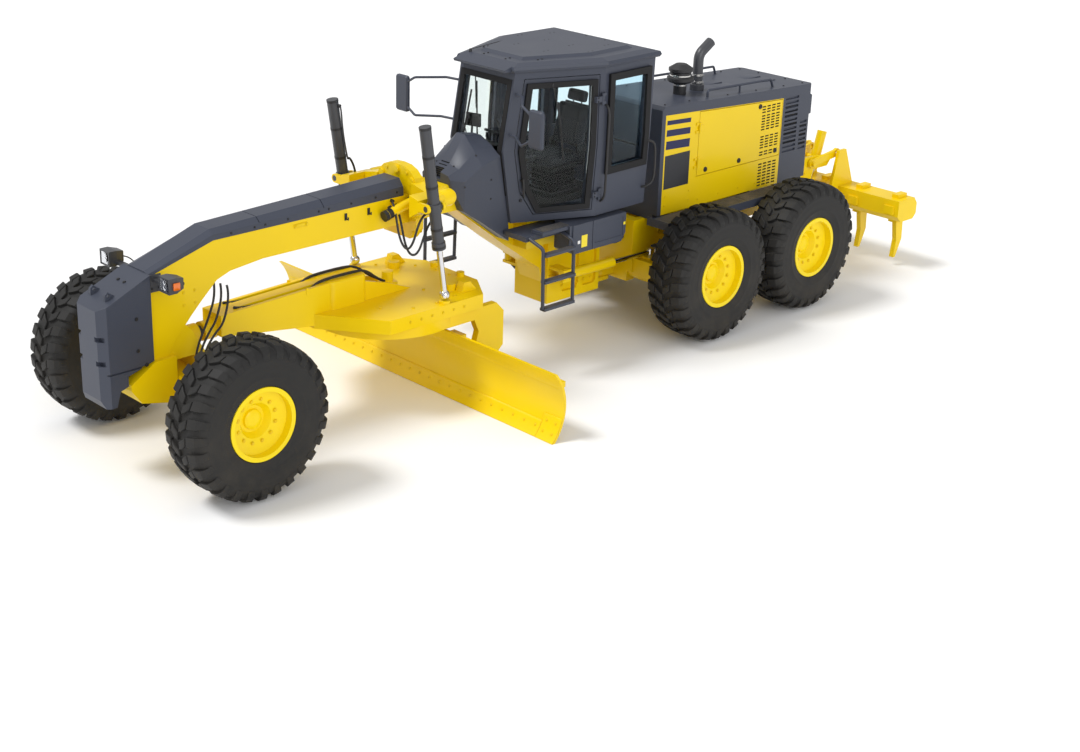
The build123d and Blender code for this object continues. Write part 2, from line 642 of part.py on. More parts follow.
def lift_cylinders():
    """Two blade lift cylinders, held at mid barrel by trunnions in the saddle's arms."""
    top, gland = LIFT_TOP[1], LIFT_GLAND[1]
    barrel = bar(lift_point(gland), lift_point(top), LIFT_BARREL_R)
    barrel += bar(lift_point(gland), lift_point(gland + 70), LIFT_BARREL_R + 10)
    barrel += bar(lift_point(LIFT_TRUNNION_Z - 45), lift_point(LIFT_TRUNNION_Z + 45),
                  TRUNNION_COLLAR_R)
    barrel += trunnion(TRUNNION_COLLAR_R + 12 + TRUNNION_EAR_T, TRUNNION_R)
    barrel -= bar(lift_point(gland - 1), lift_point(top - 60), LIFT_ROD_R + 10)
    rod = bar(lift_point(LIFT_BALL_Z), lift_point(gland + 560), LIFT_ROD_R)
    rod += ball(lift_point(LIFT_BALL_Z), lift_point(gland), LIFT_BALL_R)
    rod = rod + bar(lift_point(gland + 500), lift_point(gland + 560),
                    LIFT_ROD_R + 10 - RUN_CLEARANCE)
    save("lift_barrel_left", barrel)
    save("lift_barrel_right", mirror(barrel, about=Plane.XZ))
    save("lift_rod_left", rod)
    save("lift_rod_right", mirror(rod, about=Plane.XZ))


# ---------------------------------------------------------------- door hinges
def door_hinge(a, y, z):
    """Pin hinge on a vertical axis: its fixed part with the pin, and its moving barrel."""
    low, high = z - DOOR_HINGE_H / 2, z + DOOR_HINGE_H / 2
    third = DOOR_HINGE_H / 4
    fixed = upright(a, y, low, high, DOOR_PIN_R)
    fixed += upright(a, y, low, low + third, DOOR_BARREL_R)
    fixed += upright(a, y, high - third, high, DOOR_BARREL_R)
    moving = upright(a, y, low + third + SEAT_GAP, high - third - SEAT_GAP, DOOR_BARREL_R)
    return fixed, moving


def pin_bore(a, y, z):
    """Bore that clears a door hinge's pin."""
    return upright(a, y, z - DOOR_HINGE_H, z + DOOR_HINGE_H, DOOR_PIN_R + RUN_CLEARANCE)


# ------------------------------------------------------------------------ cab
def cab_outline(level, inset, z):
    """Plan outline of the cab's outer face, or one wall further in."""
    front, front_half, pillar, half, rear, rear_half = CAB_PLAN[level]
    front, pillar, rear = HINGE_AFT - front, HINGE_AFT - pillar, HINGE_AFT - rear
    points = [
        (front + inset, -(front_half - inset * 0.55)), (pillar, -(half - inset)),
        (rear - inset, -(rear_half - inset)), (rear - inset, rear_half - inset),
        (pillar, half - inset), (front + inset, front_half - inset * 0.55),
    ]
    return make_face(Polyline(*[(aft(a), y, z) for a, y in points], close=True))


def cab_body(inset, low, high):
    """Solid cab volume, from the floor to the roof, in three levels."""
    levels = [("floor", low), ("belt", CAB_BELT_Z), ("top", high)]
    faces = [cab_outline(level, inset, z) for level, z in levels]
    return loft(faces, ruled=True)


def door_prism(points, front_count):
    """Side-view prism, points as (ahead of the hinge, height), its first ones slanting forward
    as they go outward: the door's front edge swings out and forward past the post."""
    faces = []
    for y in (250, 1000):
        shift = (y - DOOR_EDGE_Y) * DOOR_EDGE_SLANT
        outline = [(HINGE_AFT - ahead - shift * (index < front_count), z)
                   for index, (ahead, z) in enumerate(points)]
        faces.append(make_face(Polyline(*[(aft(a), y, z) for a, z in outline], close=True)))
    return loft(faces, ruled=True)


def door_zone(grow):
    """Prism of the left door's outline, grown or shrunk all round."""
    g = grow
    sill = CAB_FLOOR_Z + CAB_FLOOR_T + DOOR_SILL
    head = CAB_TOP_Z - 80
    points = [
        (1685 + g, head + g), (1800 + g, CAB_BELT_Z), (1720 + g, 1900), (1540 + g, sill - g),
        (960 - g, sill - g), (930 - g, CAB_BELT_Z), (910 - g, head + g),
    ]
    return door_prism(points, 4)


def cab_shell_solid():
    """Cab walls and pillars, open where the doors hang."""
    walls = cab_body(0, CAB_FLOOR_Z, CAB_TOP_Z)
    walls -= cab_body(CAB_WALL, CAB_FLOOR_Z + CAB_FLOOR_T, CAB_TOP_Z + 1)
    return walls


def cab():
    """Cab shell with its windows, two doors, roof and what shows inside."""
    walls = cab_shell_solid()
    zone = door_zone(0)
    doors = walls & zone
    window = door_prism([(1620, CAB_TOP_Z - 160), (1715, CAB_BELT_Z), (1645, 1960), (1490, 1700),
                         (1030, 1700), (1000, CAB_BELT_Z), (980, CAB_TOP_Z - 160)], 4)
    left_door = doors - window
    hinge_a, hinge_y = CAB_HINGE
    hinge_seats = []
    for z in CAB_HINGE_Z:
        third = DOOR_HINGE_H / 4
        fixed, moving = door_hinge(hinge_a, hinge_y, z)
        for low in (z - DOOR_HINGE_H / 2, z + DOOR_HINGE_H / 2 - third):
            fixed += block(aft(hinge_a), aft(hinge_a + 46), 745, hinge_y + 4, low, low + third)
        low, high = z - third + SEAT_GAP, z + third - SEAT_GAP
        moving += block(aft(hinge_a - 92), aft(hinge_a - 60), 715, hinge_y + 4, low, high)
        moving += block(aft(hinge_a - 92), aft(hinge_a), hinge_y - 9, hinge_y + 4, low, high)
        left_door += moving
        left_door -= pin_bore(hinge_a, hinge_y, z)
        hinge_seats.append(fixed)
    save("door_left", left_door)
    save("door_right", mirror(left_door, about=Plane.XZ))
    gap_zone = door_zone(DOOR_GAP)
    shell = walls - gap_zone - mirror(gap_zone, about=Plane.XZ)
    head = CAB_TOP_Z - 140
    rear_side = side_plate([(HINGE_AFT - 740, head), (HINGE_AFT - 760, 2050),
                            (HINGE_AFT - 240, 2050), (HINGE_AFT - 220, head)], 400, 1000)
    shell -= rear_side
    shell -= mirror(rear_side, about=Plane.XZ)
    shell -= cross_plate([(-330, 1900), (330, 1900), (330, head + 20), (-330, head + 20)],
                         HINGE_AFT - 2020, HINGE_AFT - 1620)
    shell -= cross_plate([(-640, 2150), (640, 2150), (640, head + 20), (-640, head + 20)],
                         HINGE_AFT - 320, HINGE_AFT + 80)
    notch = side_plate([(HINGE_AFT - 2020, 1500), (HINGE_AFT - 2020, 2080),
                        (HINGE_AFT - 1700, 1670), (HINGE_AFT - 1530, 1500)],
                       -BEAM_HALF_W - 8, BEAM_HALF_W + 8)
    shell -= notch
    for seat in hinge_seats:
        shell += seat
        shell += mirror(seat, about=Plane.XZ)
    save("cab_shell", shell)
    save("cab_roof", cab_roof())
    save("operator_seat", operator_seat())
    save("control_column", control_column())


def cab_roof():
    """Roof with a rolled edge, a raised crown and a visor over the windscreen."""
    base = CAB_TOP_Z + SEAT_GAP
    levels = ((-ROOF_OVERHANG + 14, base), (-ROOF_OVERHANG, base + 26), (-ROOF_OVERHANG + 12, base + 58),
              (60, base + 84))
    roof = loft([cab_outline("top", inset, z) for inset, z in levels], ruled=True)
    crown = loft([cab_outline("top", 150, base + 70), cab_outline("top", 215, CAB_TOP_Z + ROOF_T)],
                 ruled=True)
    front = HINGE_AFT - CAB_PLAN["top"][0]
    visor = side_plate([(front - 120, base + 6), (front - 128, base + 30), (front - 20, base + 62),
                        (front, base + 30), (front, base + 6)], -380, 380)
    return roof + crown + visor


def operator_seat():
    """Seat on its box, with a backrest."""
    floor = CAB_FLOOR_Z + CAB_FLOOR_T + SEAT_GAP
    front, back = HINGE_AFT - 1060, HINGE_AFT - 540
    seat = block(aft(front + 40), aft(back), -200, 200, floor, floor + 330)
    seat += block(aft(front), aft(back), -250, 250, floor + 330, floor + 460)
    seat += side_plate([(back - 100, floor + 460), (back, floor + 460), (back + 160, floor + 1080),
                        (back + 70, floor + 1080)], -240, 240)
    return seat


def control_column():
    """Steering column with its wheel, and a lever console each side of it."""
    floor = CAB_FLOOR_Z + CAB_FLOOR_T + SEAT_GAP
    front = HINGE_AFT - 1620
    column = side_plate([(front, floor), (front + 200, floor), (front + 190, floor + 480),
                         (front + 110, floor + 640), (front + 20, floor + 640)], -85, 85)
    head = (aft(front + 58), 0, floor + 620)
    hub = (aft(front + 105), 0, floor + 750)
    column += bar(head, hub, 34)
    tilt = Plane(origin=hub, z_dir=Vector(*hub) - Vector(*head))
    wheel = tilt * Torus(STEERING_WHEEL_R, 15) + tilt * Cylinder(48, 34)
    for angle in (90, 210, 330):
        spoke = Rot(0, 0, angle) * Pos(STEERING_WHEEL_R / 2, 0, 0) * Box(STEERING_WHEEL_R, 26, 14)
        wheel += tilt * spoke
    column += wheel
    for side in (-1, 1):
        post = side_plate([(front + 20, floor), (front + 180, floor), (front + 200, floor + 470),
                           (front + 290, floor + 560), (front + 70, floor + 560),
                           (front + 90, floor + 470)], side * 240, side * 310)
        column += post
        column += block(aft(front + 60), aft(front + 160), side * 80, side * 250, floor, floor + 60)
        for number in range(4):
            lever = front + 110 + 48 * number
            foot = (aft(lever), side * 275, floor + 540)
            column += bar(foot, (aft(lever + 8), side * 268, floor + 690), 7)
            column += bar((aft(lever + 7), side * 269, floor + 670),
                          (aft(lever + 10), side * 266, floor + 718), 15)
    return column


def cowl_section(ahead, bottom, crease, crease_y, shoulder, shoulder_y, top):
    """Cross-section of the cowl: sides up to a crease, shoulders and a narrow top."""
    half = [(crease_y - 6, bottom), (crease_y, crease), (shoulder_y, shoulder), (60, top)]
    points = half + [(-y, z) for y, z in reversed(half)]
    return make_face(Polyline(*[(aft(HINGE_AFT - ahead), y, z) for y, z in points], close=True))


def front_cowl():
    """Grey housing astride the beam just ahead of the cab, humped, with an open vent in front."""
    sections = [
        cowl_section(2440, 2046, 2090, 214, 2130, 176, 2150),
        cowl_section(2320, 1760, 2075, 300, 2185, 204, 2214),
        cowl_section(2116, 1622, 2205, 330, 2330, 214, 2478),
        cowl_section(1760, 1360, 2330, 372, 2394, 240, 2420),
    ]
    cowl = loft(sections, ruled=True)
    beam_top = BEAM_TOP_Z + SEAT_GAP
    cowl -= side_plate([(HINGE_AFT - 2560, 1300), (HINGE_AFT - 2560, beam_top),
                        (HINGE_AFT - 2239, beam_top), (HINGE_AFT - 1719, 1641), (HINGE_AFT - 1560, 1481),
                        (HINGE_AFT - 1560, 1300)], -BEAM_HALF_W - SEAT_GAP, BEAM_HALF_W + SEAT_GAP)
    cowl -= side_plate([(HINGE_AFT - 1740, 1200), (HINGE_AFT - 1773, 1560), (HINGE_AFT - 1903, CAB_BELT_Z),
                        (HINGE_AFT - 1888, 2600), (HINGE_AFT - 1600, 2600), (HINGE_AFT - 1600, 1200)],
                       -500, 500)
    vent = block(aft(HINGE_AFT - 2500), aft(HINGE_AFT - 2384), -64, 64, 2072, 2240)
    cowl -= vent
    save("front_cowl", cowl)


def front_wall_y(distance, z):
    """Outer face of the cab's slanted left front wall, above the belt."""
    share = (z - CAB_BELT_Z) / (CAB_TOP_Z - CAB_BELT_Z)
    belt, top = CAB_PLAN["belt"], CAB_PLAN["top"]
    front, half, pillar, pillar_half = [b + share * (t - b) for b, t in zip(belt, top)][:4]
    front, pillar = HINGE_AFT - front, HINGE_AFT - pillar
    return half + (pillar_half - half) * (distance - front) / (pillar - front)


def cab_corner(distance, z):
    """Point on that wall, and the wall's outward normal there."""
    y = front_wall_y(distance, z)
    normal = Vector(front_wall_y(distance + 1, z) - y, 1, y - front_wall_y(distance, z + 1))
    return Vector(aft(distance), y, z), normal.normalized()


def mirrors():
    """Two mirrors on bent tubes beside the cab's front corners."""
    out_aft = HINGE_AFT - 2020
    glass = block(aft(out_aft - 40), aft(out_aft), 905, 1095, CAB_TOP_Z - 610, CAB_TOP_Z - 230)
    glass = fillet(glass.edges().filter_by(Axis.X), 30)
    glass = chamfer(glass.faces().sort_by(Axis.X)[-1].edges(), 14)
    feet = ((HINGE_AFT - 1752, CAB_TOP_Z - 220, CAB_TOP_Z - 300),
            (HINGE_AFT - 1825, CAB_TOP_Z - 620, CAB_TOP_Z - 540))
    for a, z, end_z in feet:
        foot, out = cab_corner(a, z)
        start = foot + out * SEAT_GAP
        knee = foot + out * 160
        glass += pipe([tuple(start), tuple(knee), (aft(out_aft - 20), 800, z),
                       (aft(out_aft - 20), 940, end_z)], 40, 13)
    save("mirrors", *both_sides(glass))


def ladder_frame():
    """Left ladder: two stiles that lean in at the foot, three rungs and a recessed top step."""
    low, high = HINGE_AFT - 1790, HINGE_AFT - 1350
    stiles = ((low, low + 4), (high, high - 6))
    frame = None
    for top_a, foot_a in stiles:
        stile = pipe([(aft(top_a), 700, 1470), (aft(top_a), 905, 1410), (aft(foot_a), 918, 770)],
                     50, 19)
        frame = stile if frame is None else frame + stile
    for z in (766, 1060, 1345):
        frame += block(aft(low + 2), aft(high - 2), 880, 952, z - 15, z + 15)
    return frame


def skirt_box():
    """Left box under the cab's side, its lower edge rising at the rear."""
    box = side_plate([(HINGE_AFT - 1290, SKIRT_BOTTOM_Z + 22), (HINGE_AFT - 1270, SKIRT_BOTTOM_Z),
                      (HINGE_AFT - 560, SKIRT_BOTTOM_Z), (HINGE_AFT - 500, SKIRT_BOTTOM_Z + 90),
                      (HINGE_AFT - 500, 1538), (HINGE_AFT - 1290, 1538)], 560, SKIRT_HALF_W)
    box -= side_plate([(HINGE_AFT - 1002, 1200), (HINGE_AFT - 1002, 1560), (HINGE_AFT - 994, 1560),
                       (HINGE_AFT - 994, 1200)], SKIRT_HALF_W - 10, SKIRT_HALF_W + 1)
    box -= side_plate([(HINGE_AFT - 960, 1290), (HINGE_AFT - 540, 1290), (HINGE_AFT - 540, 1496),
                       (HINGE_AFT - 960, 1496)], SKIRT_HALF_W - 6, SKIRT_HALF_W + 1)
    return box


def ladders():
    """Step ladder, top step and side box under each door, on a shelf from the frame."""
    side = ladder_frame()
    side += block(aft(HINGE_AFT - 1840), aft(HINGE_AFT - 500), 380 + SEAT_GAP, 700, 1440, 1495)
    side += block(aft(HINGE_AFT - 1700), aft(HINGE_AFT - 1280), 640, 800, 1500, 1538)
    side += block(aft(HINGE_AFT - 1700), aft(HINGE_AFT - 1280), 640, 700, 1494, 1501)
    side += block(aft(HINGE_AFT - 1330), aft(HINGE_AFT - 1280), 640, 820, 1300, 1538)
    side += skirt_box()
    save("ladders", *both_sides(side))


# --------------------------------------------------------------- blade group
def drawbar_ball(grow):
    """Ball that the drawbar swings and lifts about, or the same with a clearance."""
    centre = (aft(BALL_AFT), 0, BALL_Z)
    return ball(centre, (0, 0, BALL_Z), BALL_R + grow)


def drawbar_head(front):
    """Rounded housing where the drawbar's beam meets its plate."""
    head = block(aft(front), aft(front + 470), -176, 176, DRAWBAR_PLATE_TOP_Z - 20, 1334)
    head = fillet(head.edges().filter_by(Axis.Z), 70)
    return fillet(head.faces().sort_by(Axis.Z)[-1].edges(), 24)


def drawbar():
    """Drawbar: ball, box beam and rear plate over the circle."""
    save("drawbar_ball", drawbar_ball(0))
    neck = bar((aft(BALL_AFT + SOCKET_OPEN), 0, BALL_Z), (aft(440), 0, BALL_Z), SOCKET_R)
    neck -= drawbar_ball(SEAT_GAP)
    plate_front = CIRCLE_AFT - 1000
    beam = side_plate([(430, 1080), (plate_front + 200, DRAWBAR_PLATE_BOTTOM_Z),
                       (plate_front + 200, 1328), (430, 1290)], -150, 150)
    for side in (-1, 1):
        beam += side_plate([(CIRCLE_AFT - 370, DRAWBAR_PLATE_TOP_Z - 5), (CIRCLE_AFT - 370, 1250),
                            (CIRCLE_AFT - 60, 1160), (CIRCLE_AFT + 230, DRAWBAR_PLATE_TOP_Z - 5)],
                           side * 128 - 20, side * 128 + 20)
    beam += turned(CIRCLE_AFT + 40, 0, [(0, DRAWBAR_PLATE_TOP_Z - 5), (104, DRAWBAR_PLATE_TOP_Z - 5),
                                        (104, 1110), (84, 1124), (58, 1124), (58, 1228), (0, 1234)])
    beam += drawbar_head(plate_front + 180)
    for side in (-1, 1):
        beam -= block(aft(700), aft(plate_front + 60), side * 62, side * 112, 1262, 1400)
        beam += side_plate([(CIRCLE_AFT - 1090, 1270), (CIRCLE_AFT - 1090, 1338),
                            (CIRCLE_AFT - 1064, 1338), (CIRCLE_AFT - 1050, 1270)],
                           side * 148 - 7, side * 148 + 7)
    corner = CIRCLE_AFT + 650
    plate = plan_plate([(plate_front, -150), (CIRCLE_AFT - 550, -760), (corner, -760),
                        (CIRCLE_AFT + 900, -400), (CIRCLE_AFT + 900, 400), (corner, 760),
                        (CIRCLE_AFT - 550, 760), (plate_front, 150)],
                       DRAWBAR_PLATE_BOTTOM_Z, DRAWBAR_PLATE_TOP_Z)
    shape = neck + plate + beam
    for side in (-1, 1):
        shape += side_plate([(corner - 150, DRAWBAR_PLATE_TOP_Z - 5), (corner - 110, 1150),
                             (corner - 30, 1150), (corner + 60, DRAWBAR_PLATE_TOP_Z - 5)],
                            side * 555 - 45, side * 555 + 45)
        shape += upright(corner - 160, side * 440, DRAWBAR_PLATE_TOP_Z - 5, 1118, 62)
        shape += upright(CIRCLE_AFT + 842, side * 205, DRAWBAR_PLATE_TOP_Z - 5, 1096, 42)
    pad_aft = lift_aft(LIFT_BALL_Z)
    for y in (-LIFT_Y, LIFT_Y):
        shape += upright(pad_aft, y, DRAWBAR_PLATE_TOP_Z - 20, DRAWBAR_PLATE_TOP_Z + 30, 58)
    shoe = block(CIRCLE_LIP_R - 50, CIRCLE_LIP_R - 8, -70, 70, CIRCLE_LIP_Z - 30,
                 DRAWBAR_PLATE_BOTTOM_Z + 10)
    shoe += block(CIRCLE_LIP_R - 50, CIRCLE_LIP_R + 42, -70, 70, CIRCLE_LIP_Z - 30,
                  CIRCLE_LIP_Z - SEAT_GAP)
    for number in range(SHOE_COUNT):
        turn = Rot(0, 0, (number + 0.5) * 360 / SHOE_COUNT)
        shape += Pos(aft(CIRCLE_AFT), 0, 0) * turn * shoe
    save("drawbar", shape)


def circle():
    """Toothed circle with the two arms that carry the blade."""
    ring = upright(CIRCLE_AFT, 0, CIRCLE_BOTTOM_Z, CIRCLE_TOP_Z, CIRCLE_R)
    ring -= upright(CIRCLE_AFT, 0, CIRCLE_BOTTOM_Z - 1, CIRCLE_LIP_Z, CIRCLE_IN_R)
    ring -= upright(CIRCLE_AFT, 0, CIRCLE_LIP_Z - 1, CIRCLE_TOP_Z + 1, CIRCLE_LIP_R)
    start, pin_a = CIRCLE_AFT - 150, TIP_PIN[0]
    arm_points = [(start, CIRCLE_TOP_Z - 10), (pin_a + 230, CIRCLE_TOP_Z - 10), (pin_a + 330, 790),
                  (pin_a + 330, 420), (pin_a + 110, 220), (pin_a - 70, 220), (pin_a - 90, 380),
                  (pin_a - 10, 640), (pin_a - 70, 775), (start, 775)]
    arm = side_plate(arm_points, CIRCLE_ARM_Y, CIRCLE_ARM_Y + CIRCLE_ARM_T)
    arm -= cross_pin(TIP_PIN[0], TIP_PIN[1], CIRCLE_ARM_Y - 1, CIRCLE_ARM_Y + CIRCLE_ARM_T + 1,
                     TIP_PIN_R + RUN_CLEARANCE)
    save("circle", ring + arm + mirror(arm, about=Plane.XZ))


def blade_arc(offset, z0, z1, y0, y1):
    """Curved blade plate between two heights, the arc shifted aft by an offset."""
    half = BLADE_H / 2
    radius = (half * half + BLADE_BULGE * BLADE_BULGE) / (2 * BLADE_BULGE)
    centre_aft = BLADE_AFT + BLADE_BULGE - radius
    ring = cross_pin(centre_aft + offset, half, y0, y1, radius + BLADE_T)
    ring -= cross_pin(centre_aft + offset, half, y0 - 1, y1 + 1, radius)
    return ring & block(aft(BLADE_AFT - 60), aft(BLADE_AFT + 400), y0 - 1, y1 + 1, z0, z1)


def blade_back(z):
    """Distance aft of the blade plate's back face at a height."""
    half = BLADE_H / 2
    radius = (half * half + BLADE_BULGE * BLADE_BULGE) / (2 * BLADE_BULGE)
    return BLADE_AFT + BLADE_BULGE - radius + math.sqrt((radius + BLADE_T) ** 2 - (z - half) ** 2)


def moldboard():
    """Curved blade with its back rails."""
    blade = blade_arc(0, 0, BLADE_H, -BLADE_HALF_L, BLADE_HALF_L)
    rail_end = BLADE_AFT + BLADE_BULGE + BLADE_T + BLADE_RAIL_OUT
    for z0, z1 in BLADE_RAILS:
        start = min(blade_back(z0), blade_back(z1)) - 8
        blade += block(aft(start), aft(rail_end), -BLADE_HALF_L + 60, BLADE_HALF_L - 60, z0, z1)
    save("moldboard", blade)


def tip_carrier():
    """Pivoting carrier behind the blade: clamps its rails and hangs in the circle's arms."""
    back = BLADE_AFT + BLADE_BULGE + BLADE_T + SLIDE_GAP
    plate = BLADE_AFT + BLADE_BULGE + BLADE_T + BLADE_RAIL_OUT + SLIDE_GAP
    low = BLADE_RAILS[0][0] - SLIDE_GAP - JAW_T
    high = BLADE_RAILS[1][1] + SLIDE_GAP + JAW_T
    in_y = CIRCLE_ARM_Y - SLIDE_GAP
    carrier = block(aft(plate + 40), aft(plate + 110), -in_y, in_y, 300, 420)
    for y in (-in_y + 90, in_y - 90):
        carrier += block(aft(plate), aft(plate + 50), y - 90, y + 90, low, high)
        for z0, z1 in BLADE_RAILS:
            for z in (z0 - SLIDE_GAP - JAW_T, z1 + SLIDE_GAP):
                carrier += block(aft(back), aft(plate + 2), y - 90, y + 90, z, z + JAW_T)
    pin_a, pin_z = TIP_PIN
    for side in (-1, 1):
        ear = side_plate([(plate + 40, 260), (plate + 40, 420), (pin_a, pin_z + 60),
                          (pin_a + 50, pin_z), (pin_a, pin_z - 60)],
                         side * in_y - 25 * (side + 1), side * in_y + 25 * (1 - side))
        pin = cross_pin(pin_a, pin_z, side * (in_y - 40), side * (CIRCLE_ARM_Y + CIRCLE_ARM_T + 10),
                        TIP_PIN_R)
        carrier += ear + pin
    save("tip_carrier", carrier)


# ------------------------------------------------------------------ rear frame
def rear_frame():
    """Rails, cross members, hinge tongues with pins, axle housing and side boxes."""
    rail = block(aft(RAIL_FRONT), aft(RAIL_REAR), RAIL_Y, RAIL_Y + RAIL_T, RAIL_BOTTOM_Z,
                 RAIL_TOP_Z)
    frame = rail + mirror(rail, about=Plane.XZ)
    frame += block(aft(RAIL_FRONT), aft(RAIL_FRONT + 120), -RAIL_Y - 1, RAIL_Y + 1,
                   HINGE_LOW_Z, RAIL_TOP_Z)
    frame += block(aft(RAIL_REAR - 100), aft(RAIL_REAR), -480, 480, RAIL_BOTTOM_Z, RAIL_TOP_Z)
    for z_low in (HINGE_LOW_Z, HINGE_HIGH_Z):
        z = z_low + HINGE_EAR_T + SEAT_GAP
        tongue = upright(HINGE_AFT, 0, z, z + HINGE_TONGUE_T, HINGE_EAR_R - 20)
        tongue += block(aft(HINGE_AFT), aft(RAIL_FRONT + 10), -HINGE_EAR_R + 20,
                        HINGE_EAR_R - 20, z, z + HINGE_TONGUE_T)
        pin = upright(HINGE_AFT, 0, z_low - 10, z_low + 2 * HINGE_EAR_T + HINGE_TONGUE_T + 12,
                      HINGE_PIN_R)
        frame += tongue + pin
    frame += cross_pin(WHEELBASE, TYRE_R, -TANDEM_Y - 20, TANDEM_Y + 20, AXLE_TUBE_R)
    frame += block(aft(WHEELBASE - 200), aft(WHEELBASE + 200), -RAIL_Y - RAIL_T, RAIL_Y + RAIL_T,
                   TYRE_R, RAIL_TOP_Z)
    shelf_top = HINGE_CYL_REAR[2] - HINGE_CYL_EYE_H / 2 - SEAT_GAP
    front, rear = HINGE_AFT + 170, HINGE_AFT + 440
    box = side_plate([(front, 560), (front + 40, 520), (rear, 520), (rear, shelf_top - 30),
                      (front, shelf_top - 30)], RAIL_Y - 10, 640)
    box += block(aft(front + 60), aft(rear), RAIL_Y - 10, 560, shelf_top - 31, shelf_top)
    box += block(aft(RAIL_FRONT), aft(rear), RAIL_Y, RAIL_Y + RAIL_T, 600, RAIL_BOTTOM_Z + 10)
    for side in both_sides(box):
        frame += side
    for hole in range(5):
        a = WHEELBASE - 700 + 350 * hole
        if abs(a - WHEELBASE) > 250:
            frame -= cross_pin(a, (RAIL_BOTTOM_Z + RAIL_TOP_Z) / 2, -400, 400, 70)
    save("rear_frame", frame)


def tandems():
    """Chain case each side, with a spindle for each of its two wheels."""
    half = TANDEM_SPACING / 2
    z0, z1 = TYRE_R - TANDEM_H / 2, TYRE_R + TANDEM_H / 2
    case = block(aft(WHEELBASE - half), aft(WHEELBASE + half), TANDEM_Y + SEAT_GAP,
                 TANDEM_Y + TANDEM_T, z0, z1)
    case -= cross_pin(WHEELBASE, TYRE_R, TANDEM_Y - 40, TANDEM_Y + 20 + SEAT_GAP,
                      AXLE_TUBE_R + SEAT_GAP)
    for distance in (WHEELBASE - half, WHEELBASE + half):
        case += cross_pin(distance, TYRE_R, TANDEM_Y + SEAT_GAP, TANDEM_Y + TANDEM_T,
                          TANDEM_H / 2)
        case += spindle(distance, TANDEM_Y + TANDEM_T - 20)
    case += cross_pin(WHEELBASE, TYRE_R, TANDEM_Y + 100, TANDEM_Y + TANDEM_T + 16, 165)
    case += cross_pin(WHEELBASE, TYRE_R, TANDEM_Y + 100, TANDEM_Y + TANDEM_T + 26, 70)
    for a in (WHEELBASE - 420, WHEELBASE + 420):
        case += block(aft(a - 130), aft(a + 130), TANDEM_Y + 35, TANDEM_Y + 175, z1 - 1, z1 + 12)
        case += cross_pin(a, TYRE_R, TANDEM_Y + 100, TANDEM_Y + TANDEM_T + 8, 95)
    save("tandem_cases", *both_sides(case))


def roof_z(distance):
    """Height of the hood's sloping roof."""
    share = (distance - HOOD_FRONT) / (HOOD_REAR - HOOD_FRONT)
    return HOOD_TOP_FRONT_Z + share * (HOOD_TOP_REAR_Z - HOOD_TOP_FRONT_Z)


def hood_top_z(distance):
    """Height of the hood's side panels' top edge, which falls towards the rear."""
    share = (distance - HOOD_PANEL_FRONT) / (HOOD_SPLIT - HOOD_PANEL_FRONT)
    return HOOD_DOOR_TOP_FRONT_Z + share * (HOOD_DOOR_TOP_REAR_Z - HOOD_DOOR_TOP_FRONT_Z)


def hood_side(gap):
    """Side-view outline of the hood's side panel with its door, smaller by a gap all round."""
    front, rear = HOOD_PANEL_FRONT + gap, HOOD_SPLIT - gap
    return [(front, HOOD_BOTTOM_Z - 1 + gap), (rear, HOOD_BOTTOM_Z - 1 + gap),
            (rear, hood_top_z(rear) - gap), (front, hood_top_z(front) - gap)]


def hood_door(gap):
    """Side-view outline of the door in that panel, smaller by a gap all round."""
    front, rear = HOOD_DOOR_FRONT + gap, HOOD_SPLIT - DOOR_GAP - gap
    return [(front, HOOD_DOOR_BOTTOM_Z + gap), (rear, HOOD_DOOR_BOTTOM_Z + gap),
            (rear, hood_top_z(rear) - DOOR_GAP - gap), (front, hood_top_z(front) - DOOR_GAP - gap)]


def hood_shell():
    """Hood, open below and where its side panels sit, with the cooling housing's grilles."""
    def outline(inset):
        return [(HOOD_FRONT + inset, HOOD_BOTTOM_Z - (inset > 0)),
                (HOOD_REAR - inset, HOOD_BOTTOM_Z - (inset > 0)),
                (HOOD_REAR - inset, HOOD_TOP_REAR_Z - inset),
                (HOOD_FRONT + inset, HOOD_TOP_FRONT_Z - inset)]

    shell = side_plate(outline(0), -HOOD_HALF_W, HOOD_HALF_W)
    top_edges = shell.edges().group_by(Axis.Z)[-1] + shell.edges().filter_by(Axis.Z).sort_by(Axis.X)[:2]
    shell = chamfer(top_edges, 40)
    shell -= side_plate(outline(HOOD_T), -HOOD_HALF_W + HOOD_T, HOOD_HALF_W - HOOD_T)
    zone = side_plate(hood_side(0), HOOD_HALF_W - 60, HOOD_HALF_W + 1)
    shell -= zone
    shell -= mirror(zone, about=Plane.XZ)
    side_slots = slots(HOOD_SPLIT + 165, HOOD_HALF_W, 1940, 1, 13, 0, 52, 240, 28, 18)
    side_slots += slots(HOOD_SPLIT + 405, HOOD_HALF_W, 1780, 1, 7, 0, 52, 130, 28, 18)
    shell -= side_slots + [mirror(slot, about=Plane.XZ) for slot in side_slots]
    rear_slots = [block(aft(HOOD_REAR - 18), aft(HOOD_REAR + 1), -390, 390, z, z + 34)
                  for z in range(1400, 1930, 66)]
    shell -= rear_slots
    floor_a, floor_b = aft(HOOD_SPLIT + 40), aft(HOOD_REAR)
    shell += block(floor_a, floor_b, -480, 480, RAIL_TOP_Z + SEAT_GAP, HOOD_BOTTOM_Z + 40)
    shell += block(aft(HOOD_FRONT), aft(HOOD_FRONT + 60), -480, 480, RAIL_TOP_Z + SEAT_GAP,
                   HOOD_BOTTOM_Z + 40)
    return shell


